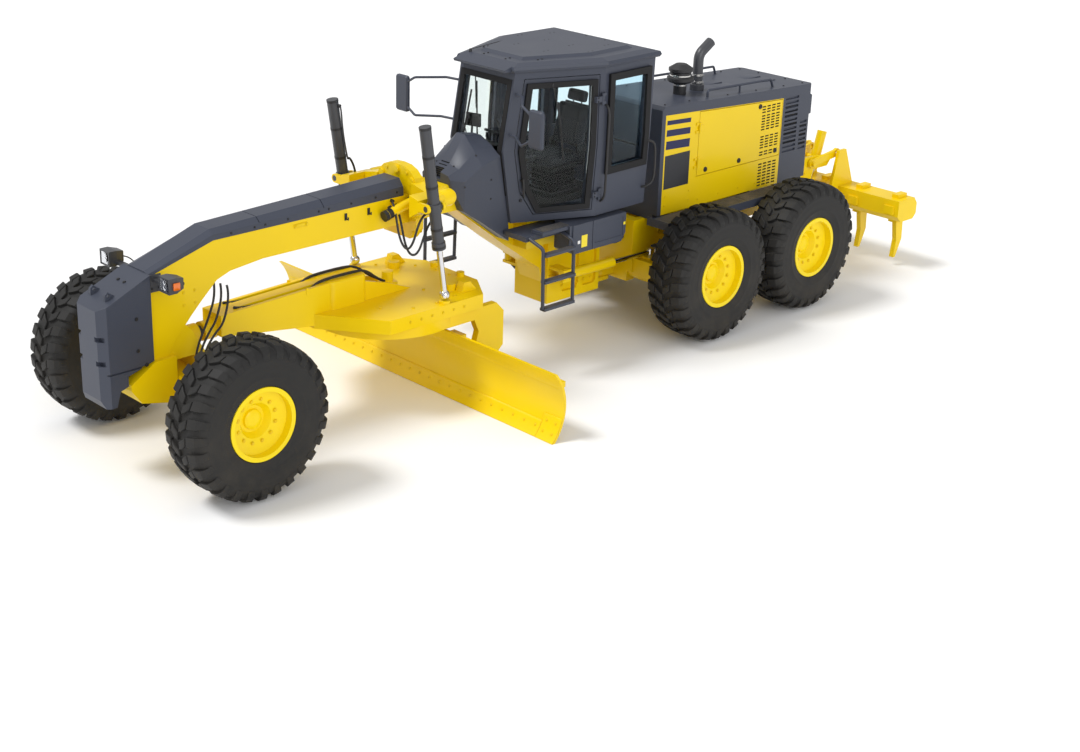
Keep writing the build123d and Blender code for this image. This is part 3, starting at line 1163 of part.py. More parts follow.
def rear_lamp_box():
    """Left lamp housing on the hood's rear, with recesses for two lamps."""
    box = side_plate([(HOOD_REAR - 1, 1985), (HOOD_REAR + 62, 1995), (HOOD_REAR + 62, 2215),
                      (HOOD_REAR - 1, 2250)], 300, 500)
    for z in (2018, 2122):
        box -= block(aft(HOOD_REAR + 48), aft(HOOD_REAR + 63), 322, 478, z, z + 76)
    return box


def hood_rail():
    """Left grab rail along the hood's top."""
    front, rear, y = HOOD_DOOR_FRONT + 250, HOOD_SPLIT - 110, 430
    rail = pipe([(aft(front), y, roof_z(front) - 8), (aft(front), y, roof_z(front) + 78),
                 (aft(rear), y, roof_z(rear) + 88), (aft(rear + 40), y, roof_z(rear + 40) - 8)],
                30, 14)
    middle = (front + rear) / 2
    return rail + upright(middle, y, roof_z(middle) - 8, roof_z(middle) + 80, 11)


def hood_door_parts():
    """Left hood door with its louvres, and the fixed halves of its hinges."""
    door = side_plate(hood_door(DOOR_GAP), HOOD_HALF_W - HOOD_DOOR_T, HOOD_HALF_W)
    fixed_parts = []
    hinge_y = HOOD_HALF_W + DOOR_BARREL_R
    for z in HOOD_HINGE_Z:
        third = DOOR_HINGE_H / 4
        fixed, moving = door_hinge(HOOD_DOOR_FRONT, hinge_y, z)
        for low in (z - DOOR_HINGE_H / 2, z + DOOR_HINGE_H / 2 - third):
            fixed += block(aft(HOOD_DOOR_FRONT - 55), aft(HOOD_DOOR_FRONT), HOOD_HALF_W - 1,
                           HOOD_HALF_W + 12, low, low + third)
        moving += block(aft(HOOD_DOOR_FRONT), aft(HOOD_DOOR_FRONT + 65), HOOD_HALF_W - 1,
                        HOOD_HALF_W + 12, z - third + SEAT_GAP, z + third - SEAT_GAP)
        door += moving
        door -= pin_bore(HOOD_DOOR_FRONT, hinge_y, z)
        fixed_parts.append(fixed)
    louvres = []
    for centre_z, rows in ((2190, 3), (2036, 6), (1806, 5), (1672, 2)):
        louvres += slots(HOOD_SPLIT - 215, HOOD_HALF_W, centre_z, 4, rows, 86, 32, 64, 16, 14)
    return door - louvres, fixed_parts


def exhaust_stack():
    """Stack with a base collar and an open mouth turned to the rear."""
    low = roof_z(7000 - 82) + SEAT_GAP
    mouth = (7190, 100, 2958)
    stack = pipe([(aft(7000), 100, low), (aft(7000), 100, 2838), (aft(mouth[0]), 100, mouth[2])],
                 120, 58)
    stack += upright(7000, 100, low, low + 66, 80)
    stack -= bar((aft(7100), 100, 2901), (aft(7200), 100, 2964.3), 50)
    return stack


def air_precleaner():
    """Intake stem with a tiered bowl."""
    low = roof_z(6650 - 72) + SEAT_GAP
    profile = [(0, low), (72, low), (72, 2570), (126, 2588), (150, 2608), (150, 2642), (120, 2660),
               (120, 2700), (136, 2712), (136, 2744), (64, 2790), (0, 2796)]
    return turned(6650, 150, profile)


def engine_bay():
    """Engine block, hood, doors, cooling housing, exhaust, intake, decks and rails."""
    save("engine_block", block(aft(HINGE_AFT + 630), aft(7650), -330, 330,
                               RAIL_TOP_Z + SEAT_GAP, 2080))
    hood = hood_shell()
    for detail in both_sides(rear_lamp_box()) + both_sides(hood_rail()):
        hood += detail
    save("engine_hood", hood)
    door, fixed_parts = hood_door_parts()
    panel = side_plate(hood_side(SEAT_GAP), HOOD_HALF_W - HOOD_DOOR_T, HOOD_HALF_W)
    panel -= side_plate(hood_door(0), HOOD_HALF_W - 60, HOOD_HALF_W + 1)
    panel -= slots(HOOD_SPLIT - 215, HOOD_HALF_W, 1420, 4, 8, 86, 36, 64, 18, 14)
    for fixed in fixed_parts:
        panel += fixed
    save("hood_sides", *both_sides(panel))
    save("hood_door_left", door)
    save("hood_door_right", mirror(door, about=Plane.XZ))
    save("exhaust_stack", exhaust_stack())
    save("air_precleaner", air_precleaner())
    front = HINGE_AFT + 140
    deck = block(aft(front), aft(7900), HOOD_HALF_W + 12, 870, 1225, 1255)
    deck += block(aft(front), aft(7900), 852, 870, 1200, 1290)
    deck += block(aft(front), aft(front + 18), HOOD_HALF_W + 12, 870, 1200, 1290)
    for a in (HINGE_AFT + 480, 7500):
        deck += block(aft(a), aft(a + 100), RAIL_Y + RAIL_T + SEAT_GAP, 860, 1150, 1226)
    save("fender_decks", *both_sides(deck))


# ---------------------------------------------------------------------- ripper
def shifted(point):
    """Beam end of a ripper link that starts at a bracket pin."""
    return (point[0] + RIPPER_LINK[0], point[1] + RIPPER_LINK[1])


def link_bar(start, end, y0, y1, radius, bore):
    """Flat link in side view between two pins, with round ends and a bore at each."""
    shape = cross_pin(start[0], start[1], y0, y1, radius) + cross_pin(end[0], end[1], y0, y1, radius)
    da, dz = end[0] - start[0], end[1] - start[1]
    length = math.hypot(da, dz)
    na, nz = -dz / length * radius * 0.8, da / length * radius * 0.8
    shape += side_plate([(start[0] + na, start[1] + nz), (end[0] + na, end[1] + nz),
                         (end[0] - na, end[1] - nz), (start[0] - na, start[1] - nz)], y0, y1)
    for a, z in (start, end):
        shape -= cross_pin(a, z, y0 - 1, y1 + 1, bore)
    return shape


def ripper():
    """Rear bracket, lower arms, upper links, beam with shanks, and the cylinder."""
    pin_r = 32.0
    bore = pin_r + RUN_CLEARANCE
    outline = [(RAIL_REAR + SEAT_GAP, 700), (RAIL_REAR + SEAT_GAP, 1330), (9150, 1300),
               (9480, 1270), (9560, 1200), (9500, 1130), (9230, 1130), (9140, 800), (9050, 690)]
    plates = []
    for y in (-150, 150):
        plate = side_plate(outline, y - 20, y + 20)
        plate -= cross_pin(RIPPER_TRUNNION[0], RIPPER_TRUNNION[1], y - 30, y + 30, bore)
        plates.append(plate)
    bracket = plates[0] + plates[1]
    bracket += block(aft(RAIL_REAR + SEAT_GAP), aft(RAIL_REAR + 40), -460, 460, 700, 1330)
    for a, z in (RIPPER_ARM_PIN, RIPPER_TOP_PIN):
        bracket += cross_pin(a, z, -250, 250, pin_r)
    save("ripper_bracket", bracket)

    arm_end = shifted(RIPPER_ARM_PIN)
    arm = link_bar(RIPPER_ARM_PIN, arm_end, 176, 226, 75, bore)
    arms = arm + mirror(arm, about=Plane.XZ)
    arms += cross_pin(RIPPER_EYE[0], RIPPER_EYE[1], -190, 190, RIPPER_PIN_R)
    arms += cross_pin(RIPPER_EYE[0], RIPPER_EYE[1], 176, 226, 62)
    arms += cross_pin(RIPPER_EYE[0], RIPPER_EYE[1], -226, -176, 62)
    save("ripper_arms", arms)

    top_end = shifted(RIPPER_TOP_PIN)
    link = link_bar(RIPPER_TOP_PIN, top_end, 176, 216, 55, bore)
    save("ripper_links", *both_sides(link))

    ba, bz = RIPPER_BEAM
    hw, hh = RIPPER_BEAM_W / 2, RIPPER_BEAM_H / 2
    beam = side_plate([(ba - hw, bz - hh + 70), (ba - hw, bz + hh), (ba + hw - 60, bz + hh),
                       (ba + hw, bz + hh - 80), (ba + hw, bz - hh + 60), (ba + hw - 60, bz - hh),
                       (ba - hw + 70, bz - hh)], -RIPPER_HALF_L, RIPPER_HALF_L)
    for y in (-270, 270):
        post = side_plate([(arm_end[0] - 60, arm_end[1] - 60), (arm_end[0] - 60, arm_end[1] + 70),
                           (top_end[0] - 60, top_end[1] + 50), (top_end[0] + 80, top_end[1] + 50),
                           (ba + hw - 60, bz + 60), (ba, bz - 60)], y - 20, y + 20)
        beam += post
        inner = 170 if y > 0 else -170
        beam += cross_pin(arm_end[0], arm_end[1], inner, y, pin_r)
    for number in range(SHANK_COUNT):
        y = (number - (SHANK_COUNT - 1) / 2) * SHANK_PITCH
        shank = side_plate([(9720, bz), (9880, bz), (9900, 330), (9800, 110), (9760, 110),
                            (9790, 330)], y - SHANK_W / 2, y + SHANK_W / 2)
        beam += shank
        socket = side_plate([(ba - hw - 26, bz - 40), (ba - hw - 26, bz + 60), (ba - hw + 2, bz + 60),
                             (ba - hw + 2, bz - 40)], y - 70, y + 70)
        socket += block(aft(9706), aft(9896), y - 62, y + 62, bz - hh - 36, bz - hh + 4)
        socket += block(aft(9712), aft(9890), y - 46, y + 46, bz + hh - 4, bz + hh + 46)
        beam += socket
    save("ripper_beam", beam)

    ta, tz = RIPPER_TRUNNION
    ea, ez = RIPPER_EYE
    length = math.hypot(ta - ea, tz - ez)
    ua, uz = (ea - ta) / length, (ez - tz) / length

    def on_axis(distance):
        return (aft(ta + ua * distance), 0, tz + uz * distance)

    barrel = bar(on_axis(-340), on_axis(140), 60)
    barrel -= bar(on_axis(-290), on_axis(141), 32)
    trunnions = cross_pin(ta, tz, 50, 165, pin_r)
    barrel += trunnions + mirror(trunnions, about=Plane.XZ)
    save("ripper_barrel", barrel)
    end = length - RIPPER_PIN_R - SEAT_GAP - RIPPER_ROD_END_R
    rod = bar(on_axis(-180), on_axis(end), 28)
    rod += bar(on_axis(-180), on_axis(-140), 32 - RUN_CLEARANCE)
    rod += ball(on_axis(end), on_axis(0), RIPPER_ROD_END_R)
    save("ripper_rod", rod)


def articulation_cylinders():
    """Cylinder each side of the hinge: barrel on the front frame, rod towards the rear frame."""
    start, end = HINGE_CYL_FRONT, HINGE_CYL_REAR
    run = Vector(aft(end[0]), end[1], end[2]) - Vector(aft(start[0]), start[1], start[2])
    unit = run.normalized()
    origin = Vector(aft(start[0]), start[1], start[2])

    def at(distance):
        return tuple(origin + unit * distance)

    barrel = bar(at(75), at(720), 55) - bar(at(110), at(721), 33)
    barrel += bar(at(45), at(80), 36)
    half = HINGE_CYL_EYE_H / 2
    eye = upright(start[0], start[1], start[2] - half, start[2] + half, 58)
    eye -= upright(start[0], start[1], start[2] - 60, start[2] + 60,
                   HINGE_CYL_PIN_R + RUN_CLEARANCE)
    barrel += eye
    save("hinge_barrel_left", barrel)
    save("hinge_barrel_right", mirror(barrel, about=Plane.XZ))
    rod = bar(at(330), at(run.length - 40), 28) + bar(at(330), at(380), 33 - RUN_CLEARANCE)
    eye = upright(end[0], end[1], end[2] - half, end[2] + half, 52)
    eye += upright(end[0], end[1], end[2] + 30, end[2] + 44, 40)
    rod += eye
    save("hinge_rod_left", rod)
    save("hinge_rod_right", mirror(rod, about=Plane.XZ))


def main():
    os.makedirs("parts", exist_ok=True)
    place_wheels()
    front_axle()
    steering()
    front_frame()
    beam_cover()
    push_block()
    headlamps()
    saddle()
    lift_cylinders()
    cab()
    front_cowl()
    mirrors()
    ladders()
    drawbar()
    circle()
    moldboard()
    tip_carrier()
    rear_frame()
    tandems()
    engine_bay()
    ripper()
    articulation_cylinders()


main()
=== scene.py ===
"""Looks of the motor grader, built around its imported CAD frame. Metres, +X to the front, +Z up."""

import json
import math

import bmesh
import bpy
from mathutils import Matrix, Vector


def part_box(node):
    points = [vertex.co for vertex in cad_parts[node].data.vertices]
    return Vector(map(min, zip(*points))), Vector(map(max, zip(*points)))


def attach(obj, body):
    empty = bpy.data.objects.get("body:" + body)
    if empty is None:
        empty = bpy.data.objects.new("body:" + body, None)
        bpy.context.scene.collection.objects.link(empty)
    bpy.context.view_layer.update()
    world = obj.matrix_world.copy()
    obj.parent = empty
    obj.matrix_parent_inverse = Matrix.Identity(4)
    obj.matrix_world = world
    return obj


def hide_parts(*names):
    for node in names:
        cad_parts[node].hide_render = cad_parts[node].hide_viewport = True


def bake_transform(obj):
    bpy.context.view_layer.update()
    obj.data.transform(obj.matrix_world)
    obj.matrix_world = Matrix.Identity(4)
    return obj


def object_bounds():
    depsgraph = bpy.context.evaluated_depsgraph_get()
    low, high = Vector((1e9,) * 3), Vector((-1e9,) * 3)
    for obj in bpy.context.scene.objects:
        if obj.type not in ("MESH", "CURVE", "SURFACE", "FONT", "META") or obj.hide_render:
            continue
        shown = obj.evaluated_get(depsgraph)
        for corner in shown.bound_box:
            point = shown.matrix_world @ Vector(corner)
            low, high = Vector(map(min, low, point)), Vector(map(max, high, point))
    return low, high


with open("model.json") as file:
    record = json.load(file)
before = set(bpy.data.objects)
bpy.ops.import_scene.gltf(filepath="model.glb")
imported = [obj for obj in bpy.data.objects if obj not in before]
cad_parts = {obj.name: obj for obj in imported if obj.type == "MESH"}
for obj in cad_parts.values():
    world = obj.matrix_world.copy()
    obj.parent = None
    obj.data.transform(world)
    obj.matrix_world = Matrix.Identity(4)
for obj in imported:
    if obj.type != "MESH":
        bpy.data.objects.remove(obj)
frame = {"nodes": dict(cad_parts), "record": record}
cad_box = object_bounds()

NODES = frame["nodes"]
RECORD = frame["record"]
SIDES = (("left", 1), ("right", -1))


def middle(node):
    """Centre of a CAD node's box."""
    low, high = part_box(node)
    return (Vector(low) + Vector(high)) / 2


FRONT_X = middle("rim_front_left").x       # the front axle's place


# ------------------------------------------------------------------ node groups
def new_group(name, inputs, outputs):
    """Empty shader node group with named sockets. inputs: name -> (socket kind, default)."""
    group = bpy.data.node_groups.new(name, "ShaderNodeTree")
    for label, (kind, value) in inputs.items():
        socket = group.interface.new_socket(name=label, in_out="INPUT", socket_type=kind)
        socket.default_value = value
    for label, kind in outputs.items():
        group.interface.new_socket(name=label, in_out="OUTPUT", socket_type=kind)
    return group, group.nodes.new("NodeGroupInput"), group.nodes.new("NodeGroupOutput")


FLOAT, VECTOR = "NodeSocketFloat", "NodeSocketVector"


def math_node(tree, operation, first, second=None, clamp=False):
    """Math node fed by sockets or plain numbers; gives its output socket."""
    node = tree.nodes.new("ShaderNodeMath")
    node.operation = operation
    node.use_clamp = clamp
    for index, source in enumerate((first, second)):
        if source is None:
            continue
        if isinstance(source, (int, float)):
            node.inputs[index].default_value = source
        else:
            tree.links.new(source, node.inputs[index])
    return node.outputs[0]


def noise(tree, coordinates, scale, detail=3.0, roughness=0.55):
    """Noise factor on the given coordinates."""
    node = tree.nodes.new("ShaderNodeTexNoise")
    node.inputs["Detail"].default_value = detail
    node.inputs["Roughness"].default_value = roughness
    if isinstance(scale, (int, float)):
        node.inputs["Scale"].default_value = scale
    else:
        tree.links.new(scale, node.inputs["Scale"])
    tree.links.new(coordinates, node.inputs["Vector"])
    return node.outputs["Fac"]


def ramp(tree, source, low, high, to_low=0.0, to_high=1.0):
    """Gives to_low below low and to_high above high, straight in between."""
    node = tree.nodes.new("ShaderNodeMapRange")
    node.inputs["From Min"].default_value = low
    node.inputs["From Max"].default_value = high
    node.inputs["To Min"].default_value = to_low
    node.inputs["To Max"].default_value = to_high
    tree.links.new(source, node.inputs["Value"])
    return node.outputs["Result"]


def object_coordinates(tree):
    """Coordinates of the piece's own frame."""
    return tree.nodes.new("ShaderNodeTexCoord").outputs["Object"]


def make_edge_wear():
    """Mask of rubbed edges, and the normal that rounds them."""
    group, inside, outside = new_group(
        "edge_wear", {"Radius": (FLOAT, 0.006), "Amount": (FLOAT, 1.0)},
        {"Mask": FLOAT, "Normal": VECTOR})
    bevel = group.nodes.new("ShaderNodeBevel")
    bevel.samples = 4
    group.links.new(inside.outputs["Radius"], bevel.inputs["Radius"])
    surface = group.nodes.new("ShaderNodeNewGeometry")
    dot = group.nodes.new("ShaderNodeVectorMath")
    dot.operation = "DOT_PRODUCT"
    group.links.new(bevel.outputs["Normal"], dot.inputs[0])
    group.links.new(surface.outputs["Normal"], dot.inputs[1])
    bend = math_node(group, "SUBTRACT", 1.0, dot.outputs["Value"])
    patches = ramp(group, noise(group, object_coordinates(group), 9.0, 6.0, 0.7), 0.48, 0.66)
    worn = math_node(group, "MULTIPLY", ramp(group, bend, 0.02, 0.12), patches)
    mask = math_node(group, "MULTIPLY", worn, inside.outputs["Amount"], clamp=True)
    group.links.new(mask, outside.inputs["Mask"])
    group.links.new(bevel.outputs["Normal"], outside.inputs["Normal"])
    return group


def make_dust():
    """Mask of settled dust: more on upward faces and near the ground, in patches."""
    group, inside, outside = new_group(
        "settled_dust", {"Amount": (FLOAT, 0.5), "Top": (FLOAT, 0.25), "Reach": (FLOAT, 1.2)},
        {"Mask": FLOAT})
    places = group.nodes.new("ShaderNodeTexCoord")
    up = group.nodes.new("ShaderNodeSeparateXYZ")
    group.links.new(places.outputs["Normal"], up.inputs[0])
    where = group.nodes.new("ShaderNodeSeparateXYZ")
    group.links.new(places.outputs["Object"], where.inputs[0])
    height = math_node(group, "DIVIDE", where.outputs["Z"], inside.outputs["Reach"])
    low = math_node(group, "SUBTRACT", 1.0, height, clamp=True)
    flat = math_node(group, "MULTIPLY", ramp(group, up.outputs["Z"], 0.5, 1.0),
                     inside.outputs["Top"])
    settled = math_node(group, "ADD", low, flat)
    cloud = ramp(group, noise(group, places.outputs["Object"], 4.5, 8.0, 0.68), 0.35, 0.75)
    mask = math_node(group, "MULTIPLY", math_node(group, "MULTIPLY", settled, cloud),
                     inside.outputs["Amount"], clamp=True)
    group.links.new(mask, outside.inputs["Mask"])
    return group


def make_grain():
    """Height of a fine grain over a slow unevenness, and a tone that drifts slowly."""
    group, inside, outside = new_group(
        "grain", {"Scale": (FLOAT, 90.0), "Slow Scale": (FLOAT, 2.0)},
        {"Height": FLOAT, "Tone": FLOAT})
    places = object_coordinates(group)
    fine = noise(group, places, inside.outputs["Scale"], 4.0)
    slow = noise(group, places, inside.outputs["Slow Scale"], 2.0)
    group.links.new(math_node(group, "ADD", fine, slow), outside.inputs["Height"])
    group.links.new(slow, outside.inputs["Tone"])
    return group


EDGE_WEAR = make_edge_wear()
DUST = make_dust()
GRAIN = make_grain()


# -------------------------------------------------------------------- materials
def use_group(tree, group, **values):
    """Places a node group with its own values."""
    node = tree.nodes.new("ShaderNodeGroup")
    node.node_tree = group
    for label, value in values.items():
        node.inputs[label.replace("_", " ")].default_value = value
    return node


def mix_color(tree, factor, first, second):
    """Mix of two colours, each a socket or an RGB triple."""
    node = tree.nodes.new("ShaderNodeMix")
    node.data_type = "RGBA"
    if isinstance(factor, (int, float)):
        node.inputs["Factor"].default_value = factor
    else:
        tree.links.new(factor, node.inputs["Factor"])
    for socket, source in ((node.inputs[6], first), (node.inputs[7], second)):
        if isinstance(source, tuple):
            socket.default_value = (*source, 1.0)
        else:
            tree.links.new(source, socket)
    return node.outputs[2]


def shade(color, factor):
    """The colour made darker or lighter by a factor."""
    return tuple(min(channel * factor, 1.0) for channel in color)


DUST_TAN = (0.30, 0.24, 0.16)
PRIMER = (0.10, 0.085, 0.07)


def surfaced(name, color, rough=0.4, metallic=0.0, coat=0.0, wear=0.0, wear_color=PRIMER,
             dust=0.0, dust_top=0.15, reach=1.2, grain=90.0, bump=0.12, tone=0.12, edge=0.004,
             gloss=0.5):
    """Opaque material: drifting tone, grain, rounded and rubbed edges, settled dust."""
    material = bpy.data.materials.new(name)
    material.use_nodes = True
    tree = material.node_tree
    shader = tree.nodes["Principled BSDF"]
    shader.inputs["Metallic"].default_value = metallic
    shader.inputs["Specular IOR Level"].default_value = gloss
    shader.inputs["Coat Weight"].default_value = coat
    shader.inputs["Coat Roughness"].default_value = 0.12
    grains = use_group(tree, GRAIN, Scale=grain)
    edges = use_group(tree, EDGE_WEAR, Radius=edge, Amount=wear)
    base = mix_color(tree, grains.outputs["Tone"], shade(color, 1 - tone), shade(color, 1 + tone))
    worn = mix_color(tree, edges.outputs["Mask"], base, wear_color)
    film = use_group(tree, DUST, Amount=dust, Top=dust_top, Reach=reach)
    tree.links.new(mix_color(tree, film.outputs["Mask"], worn, DUST_TAN),
                   shader.inputs["Base Color"])
    matte = math_node(tree, "MULTIPLY", film.outputs["Mask"], 0.9 - rough)
    uneven = math_node(tree, "MULTIPLY", grains.outputs["Tone"], 0.12)
    rough_sum = math_node(tree, "ADD", math_node(tree, "ADD", matte, uneven), rough - 0.06,
                          clamp=True)
    tree.links.new(rough_sum, shader.inputs["Roughness"])
    bump_node = tree.nodes.new("ShaderNodeBump")
    bump_node.inputs["Strength"].default_value = bump
    bump_node.inputs["Distance"].default_value = 0.001
    tree.links.new(grains.outputs["Height"], bump_node.inputs["Height"])
    tree.links.new(edges.outputs["Normal"], bump_node.inputs["Normal"])
    tree.links.new(bump_node.outputs["Normal"], shader.inputs["Normal"])
    return material


def clear_glass(name, tint, rough=0.02):
    """Thin tinted pane."""
    material = bpy.data.materials.new(name)
    material.use_nodes = True
    tree = material.node_tree
    shader = tree.nodes["Principled BSDF"]
    shader.inputs["Transmission Weight"].default_value = 1.0
    shader.inputs["Metallic"].default_value = 0.0
    shader.inputs["IOR"].default_value = 1.2
    grains = use_group(tree, GRAIN, Scale=14.0, Slow_Scale=1.2)
    tree.links.new(mix_color(tree, grains.outputs["Tone"], shade(tint, 0.97), tint),
                   shader.inputs["Base Color"])
    smear = math_node(tree, "MULTIPLY", grains.outputs["Tone"], 0.03)
    tree.links.new(math_node(tree, "ADD", smear, rough), shader.inputs["Roughness"])
    return material


YELLOW = (0.86, 0.60, 0.0)
SLATE = (0.050, 0.057, 0.080)
NAVY = (0.010, 0.014, 0.075)

MATERIALS = {
    "body_yellow": surfaced("body_yellow", YELLOW, rough=0.36, coat=0.12, wear=0.15,
                            dust=0.08, dust_top=0.06, tone=0.04, bump=0.05, gloss=0.28),
    "blade_yellow": surfaced("blade_yellow", YELLOW, rough=0.34, coat=0.12, wear=0.15,
                             dust=0.07, dust_top=0.05, reach=0.8, tone=0.04, bump=0.05,
                             gloss=0.28),
    "rim_yellow": surfaced("rim_yellow", (0.90, 0.68, 0.0), rough=0.38, coat=0.1, wear=0.15,
                           dust=0.06, tone=0.03, bump=0.05, gloss=0.28),
    "barrel_yellow": surfaced("barrel_yellow", YELLOW, rough=0.32, coat=0.15, wear=0.25, dust=0.08,
                              tone=0.04, bump=0.04, gloss=0.3),
    "cover_grey": surfaced("cover_grey", SLATE, rough=0.42, coat=0.0, wear=0.2,
                           wear_color=(0.15, 0.15, 0.16), dust=0.12, dust_top=0.06, tone=0.08,
                           bump=0.07, gloss=0.35),
    "dark_steel": surfaced("dark_steel", (0.045, 0.047, 0.055), rough=0.42, coat=0.15, wear=0.4,
                           wear_color=(0.20, 0.19, 0.18), dust=0.2, tone=0.15, bump=0.1),
    "black_plastic": surfaced("black_plastic", (0.018, 0.018, 0.020), rough=0.5, dust=0.1,
                              tone=0.15, grain=240.0, bump=0.2),
    "tyre": surfaced("tyre", (0.017, 0.0165, 0.016), rough=0.62, dust=0.10, dust_top=0.0,
                     reach=1.3, tone=0.25, grain=160.0, bump=0.25, edge=0.006, wear=0.5,
                     wear_color=(0.050, 0.048, 0.045), gloss=0.3),
    "seat_fabric": surfaced("seat_fabric", (0.030, 0.031, 0.036), rough=0.85, tone=0.2,
                            grain=420.0, bump=0.5),
    "rod_chrome": surfaced("rod_chrome", (0.72, 0.72, 0.74), rough=0.13, metallic=1.0, tone=0.04,
                           grain=30.0, bump=0.03, edge=0.002),
    "zinc_bolt": surfaced("zinc_bolt", (0.42, 0.41, 0.38), rough=0.38, metallic=0.85, wear=0.3,
                          dust=0.25, tone=0.2, edge=0.001),
    "black_bolt": surfaced("black_bolt", (0.03, 0.03, 0.033), rough=0.4, metallic=0.4, wear=0.3,
                           dust=0.1, tone=0.2, edge=0.001),
    "yellow_bolt": surfaced("yellow_bolt", shade(YELLOW, 0.92), rough=0.36, coat=0.1, wear=0.6,
                            dust=0.1, tone=0.06, edge=0.0015, gloss=0.3),
    "seal_rubber": surfaced("seal_rubber", (0.012, 0.012, 0.013), rough=0.6, dust=0.1, tone=0.2,
                            grain=200.0, bump=0.15, edge=0.002, gloss=0.25),
    "hose_rubber": surfaced("hose_rubber", (0.016, 0.016, 0.018), rough=0.55, dust=0.2,
                            dust_top=0.05, tone=0.2, grain=320.0, bump=0.25, edge=0.001),
    "stripe_navy": surfaced("stripe_navy", NAVY, rough=0.3, coat=0.0, dust=0.05, tone=0.06,
                            bump=0.03, edge=0.001, gloss=0.3),
    "plate_black": surfaced("plate_black", (0.020, 0.021, 0.026), rough=0.32, coat=0.1,
                            dust=0.05, tone=0.08, bump=0.03, edge=0.001, gloss=0.3),
    "decal_yellow": surfaced("decal_yellow", (0.86, 0.68, 0.01), rough=0.3, coat=0.2, dust=0.08,
                             tone=0.04, bump=0.02, edge=0.001),
    "decal_white": surfaced("decal_white", (0.78, 0.78, 0.76), rough=0.35, coat=0.2, dust=0.1,
                            tone=0.05, bump=0.02, edge=0.001),
    "worn_steel": surfaced("worn_steel", (0.20, 0.19, 0.18), rough=0.36, metallic=0.8, wear=0.5,
                           wear_color=(0.5, 0.49, 0.47), dust=0.45, dust_top=0.0, reach=0.5,
                           tone=0.25, grain=60.0, bump=0.3),
    "bright_steel": surfaced("bright_steel", (0.58, 0.57, 0.55), rough=0.28, metallic=1.0,
                             wear=0.2, tone=0.1, grain=40.0, bump=0.08, edge=0.002),
    "mirror_face": surfaced("mirror_face", (0.86, 0.87, 0.88), rough=0.05, metallic=1.0,
                            tone=0.01, grain=10.0, bump=0.0, edge=0.0005),
    "lamp_bowl": surfaced("lamp_bowl", (0.84, 0.84, 0.86), rough=0.12, metallic=1.0, tone=0.03,
                          grain=60.0, bump=0.02, edge=0.001),
    "amber_lens": surfaced("amber_lens", (0.80, 0.16, 0.005), rough=0.14, coat=0.8, tone=0.1,
                           grain=300.0, bump=0.3, edge=0.002),
    "red_lens": surfaced("red_lens", (0.55, 0.008, 0.008), rough=0.14, coat=0.8, tone=0.1,
                         grain=300.0, bump=0.3, edge=0.002),
    # Near-black painted shade: stands in for the shade inside vent slots and the openings behind
    # them.
    "slot_painted_shade": surfaced("slot_painted_shade", (0.010, 0.010, 0.011), rough=0.8, dust=0.15, tone=0.3,
                          edge=0.001, gloss=0.2),
    "tread_plate": surfaced("tread_plate", (0.066, 0.062, 0.058), rough=0.7, wear=0.4,
                            wear_color=(0.16, 0.14, 0.11), dust=0.8, dust_top=0.7, tone=0.3,
                            grain=70.0, bump=0.6),
    "floor_mat": surfaced("floor_mat", (0.018, 0.018, 0.019), rough=0.8, dust=0.3, dust_top=0.3,
                          tone=0.2, grain=150.0, bump=0.5),
    "screen_dark": surfaced("screen_dark", (0.02, 0.028, 0.035), rough=0.08, coat=0.6, tone=0.1,
                            grain=20.0, bump=0.0, edge=0.001),
    "pane_clear": clear_glass("pane_clear", (0.90, 0.95, 0.94)),
    "pane_blue": clear_glass("pane_blue", (0.72, 0.88, 0.95)),
    "lens_clear": clear_glass("lens_clear", (0.97, 0.98, 0.99), 0.03),
}


def dress(node, material):
    """Gives a CAD node its material in every slot."""
    for material_slot in NODES[node].material_slots:
        material_slot.material = material


for entry in RECORD["subparts"]:
    dress(entry["node"], MATERIALS[entry["material_slot"]])


# ------------------------------------------------------- floor, light and camera
FLOOR_RADIUS = 60.0
FLOOR_COLOR = (0.93, 0.93, 0.93, 1.0)


def make_stage():
    """Wide pale floor under a white surround."""
    bm = bmesh.new()
    bmesh.ops.create_circle(bm, cap_ends=True, segments=64, radius=FLOOR_RADIUS)
    mesh = bpy.data.meshes.new("studio_floor")
    bm.to_mesh(mesh)
    bm.free()
    floor = bpy.data.objects.new("studio_floor", mesh)
    bpy.context.scene.collection.objects.link(floor)
    material = bpy.data.materials.new("pale_floor")
    material.use_nodes = True
    shader = material.node_tree.nodes["Principled BSDF"]
    shader.inputs["Base Color"].default_value = FLOOR_COLOR
    shader.inputs["Roughness"].default_value = 0.9
    shader.inputs["Specular IOR Level"].default_value = 0.0
    mesh.materials.append(material)


WORLD_LIGHT = 0.62


def make_world():
    """White as the camera sees it, also through glass, and a softer white as light."""
    world = bpy.data.worlds.new("surround")
    bpy.context.scene.world = world
    world.use_nodes = True
    tree = world.node_tree
    back = tree.nodes["Background"]
    back.inputs["Color"].default_value = (1.0, 1.0, 1.0, 1.0)
    rays = tree.nodes.new("ShaderNodeLightPath")
    seen = math_node(tree, "MAXIMUM", rays.outputs["Is Camera Ray"],
                     rays.outputs["Is Transmission Ray"])
    strength = ramp(tree, seen, 0.0, 1.0, WORLD_LIGHT, 1.0)
    tree.links.new(strength, back.inputs["Strength"])


SUNS = (  # name, direction the light comes from, strength, angle in degrees
    ("key_light", (0.55, -0.35, 1.0), 1.9, 18.0),
    ("fill_light", (0.25, 1.0, 0.45), 1.0, 40.0),
)


def make_lights():
    """Two broad suns."""
    for name, source, strength, angle in SUNS:
        lamp = bpy.data.lights.new(name, "SUN")
        lamp.energy = strength
        lamp.angle = math.radians(angle)
        holder = bpy.data.objects.new(name, lamp)
        holder.rotation_mode = "QUATERNION"
        holder.rotation_quaternion = Vector(source).to_track_quat("Z", "Y")
        bpy.context.scene.collection.objects.link(holder)


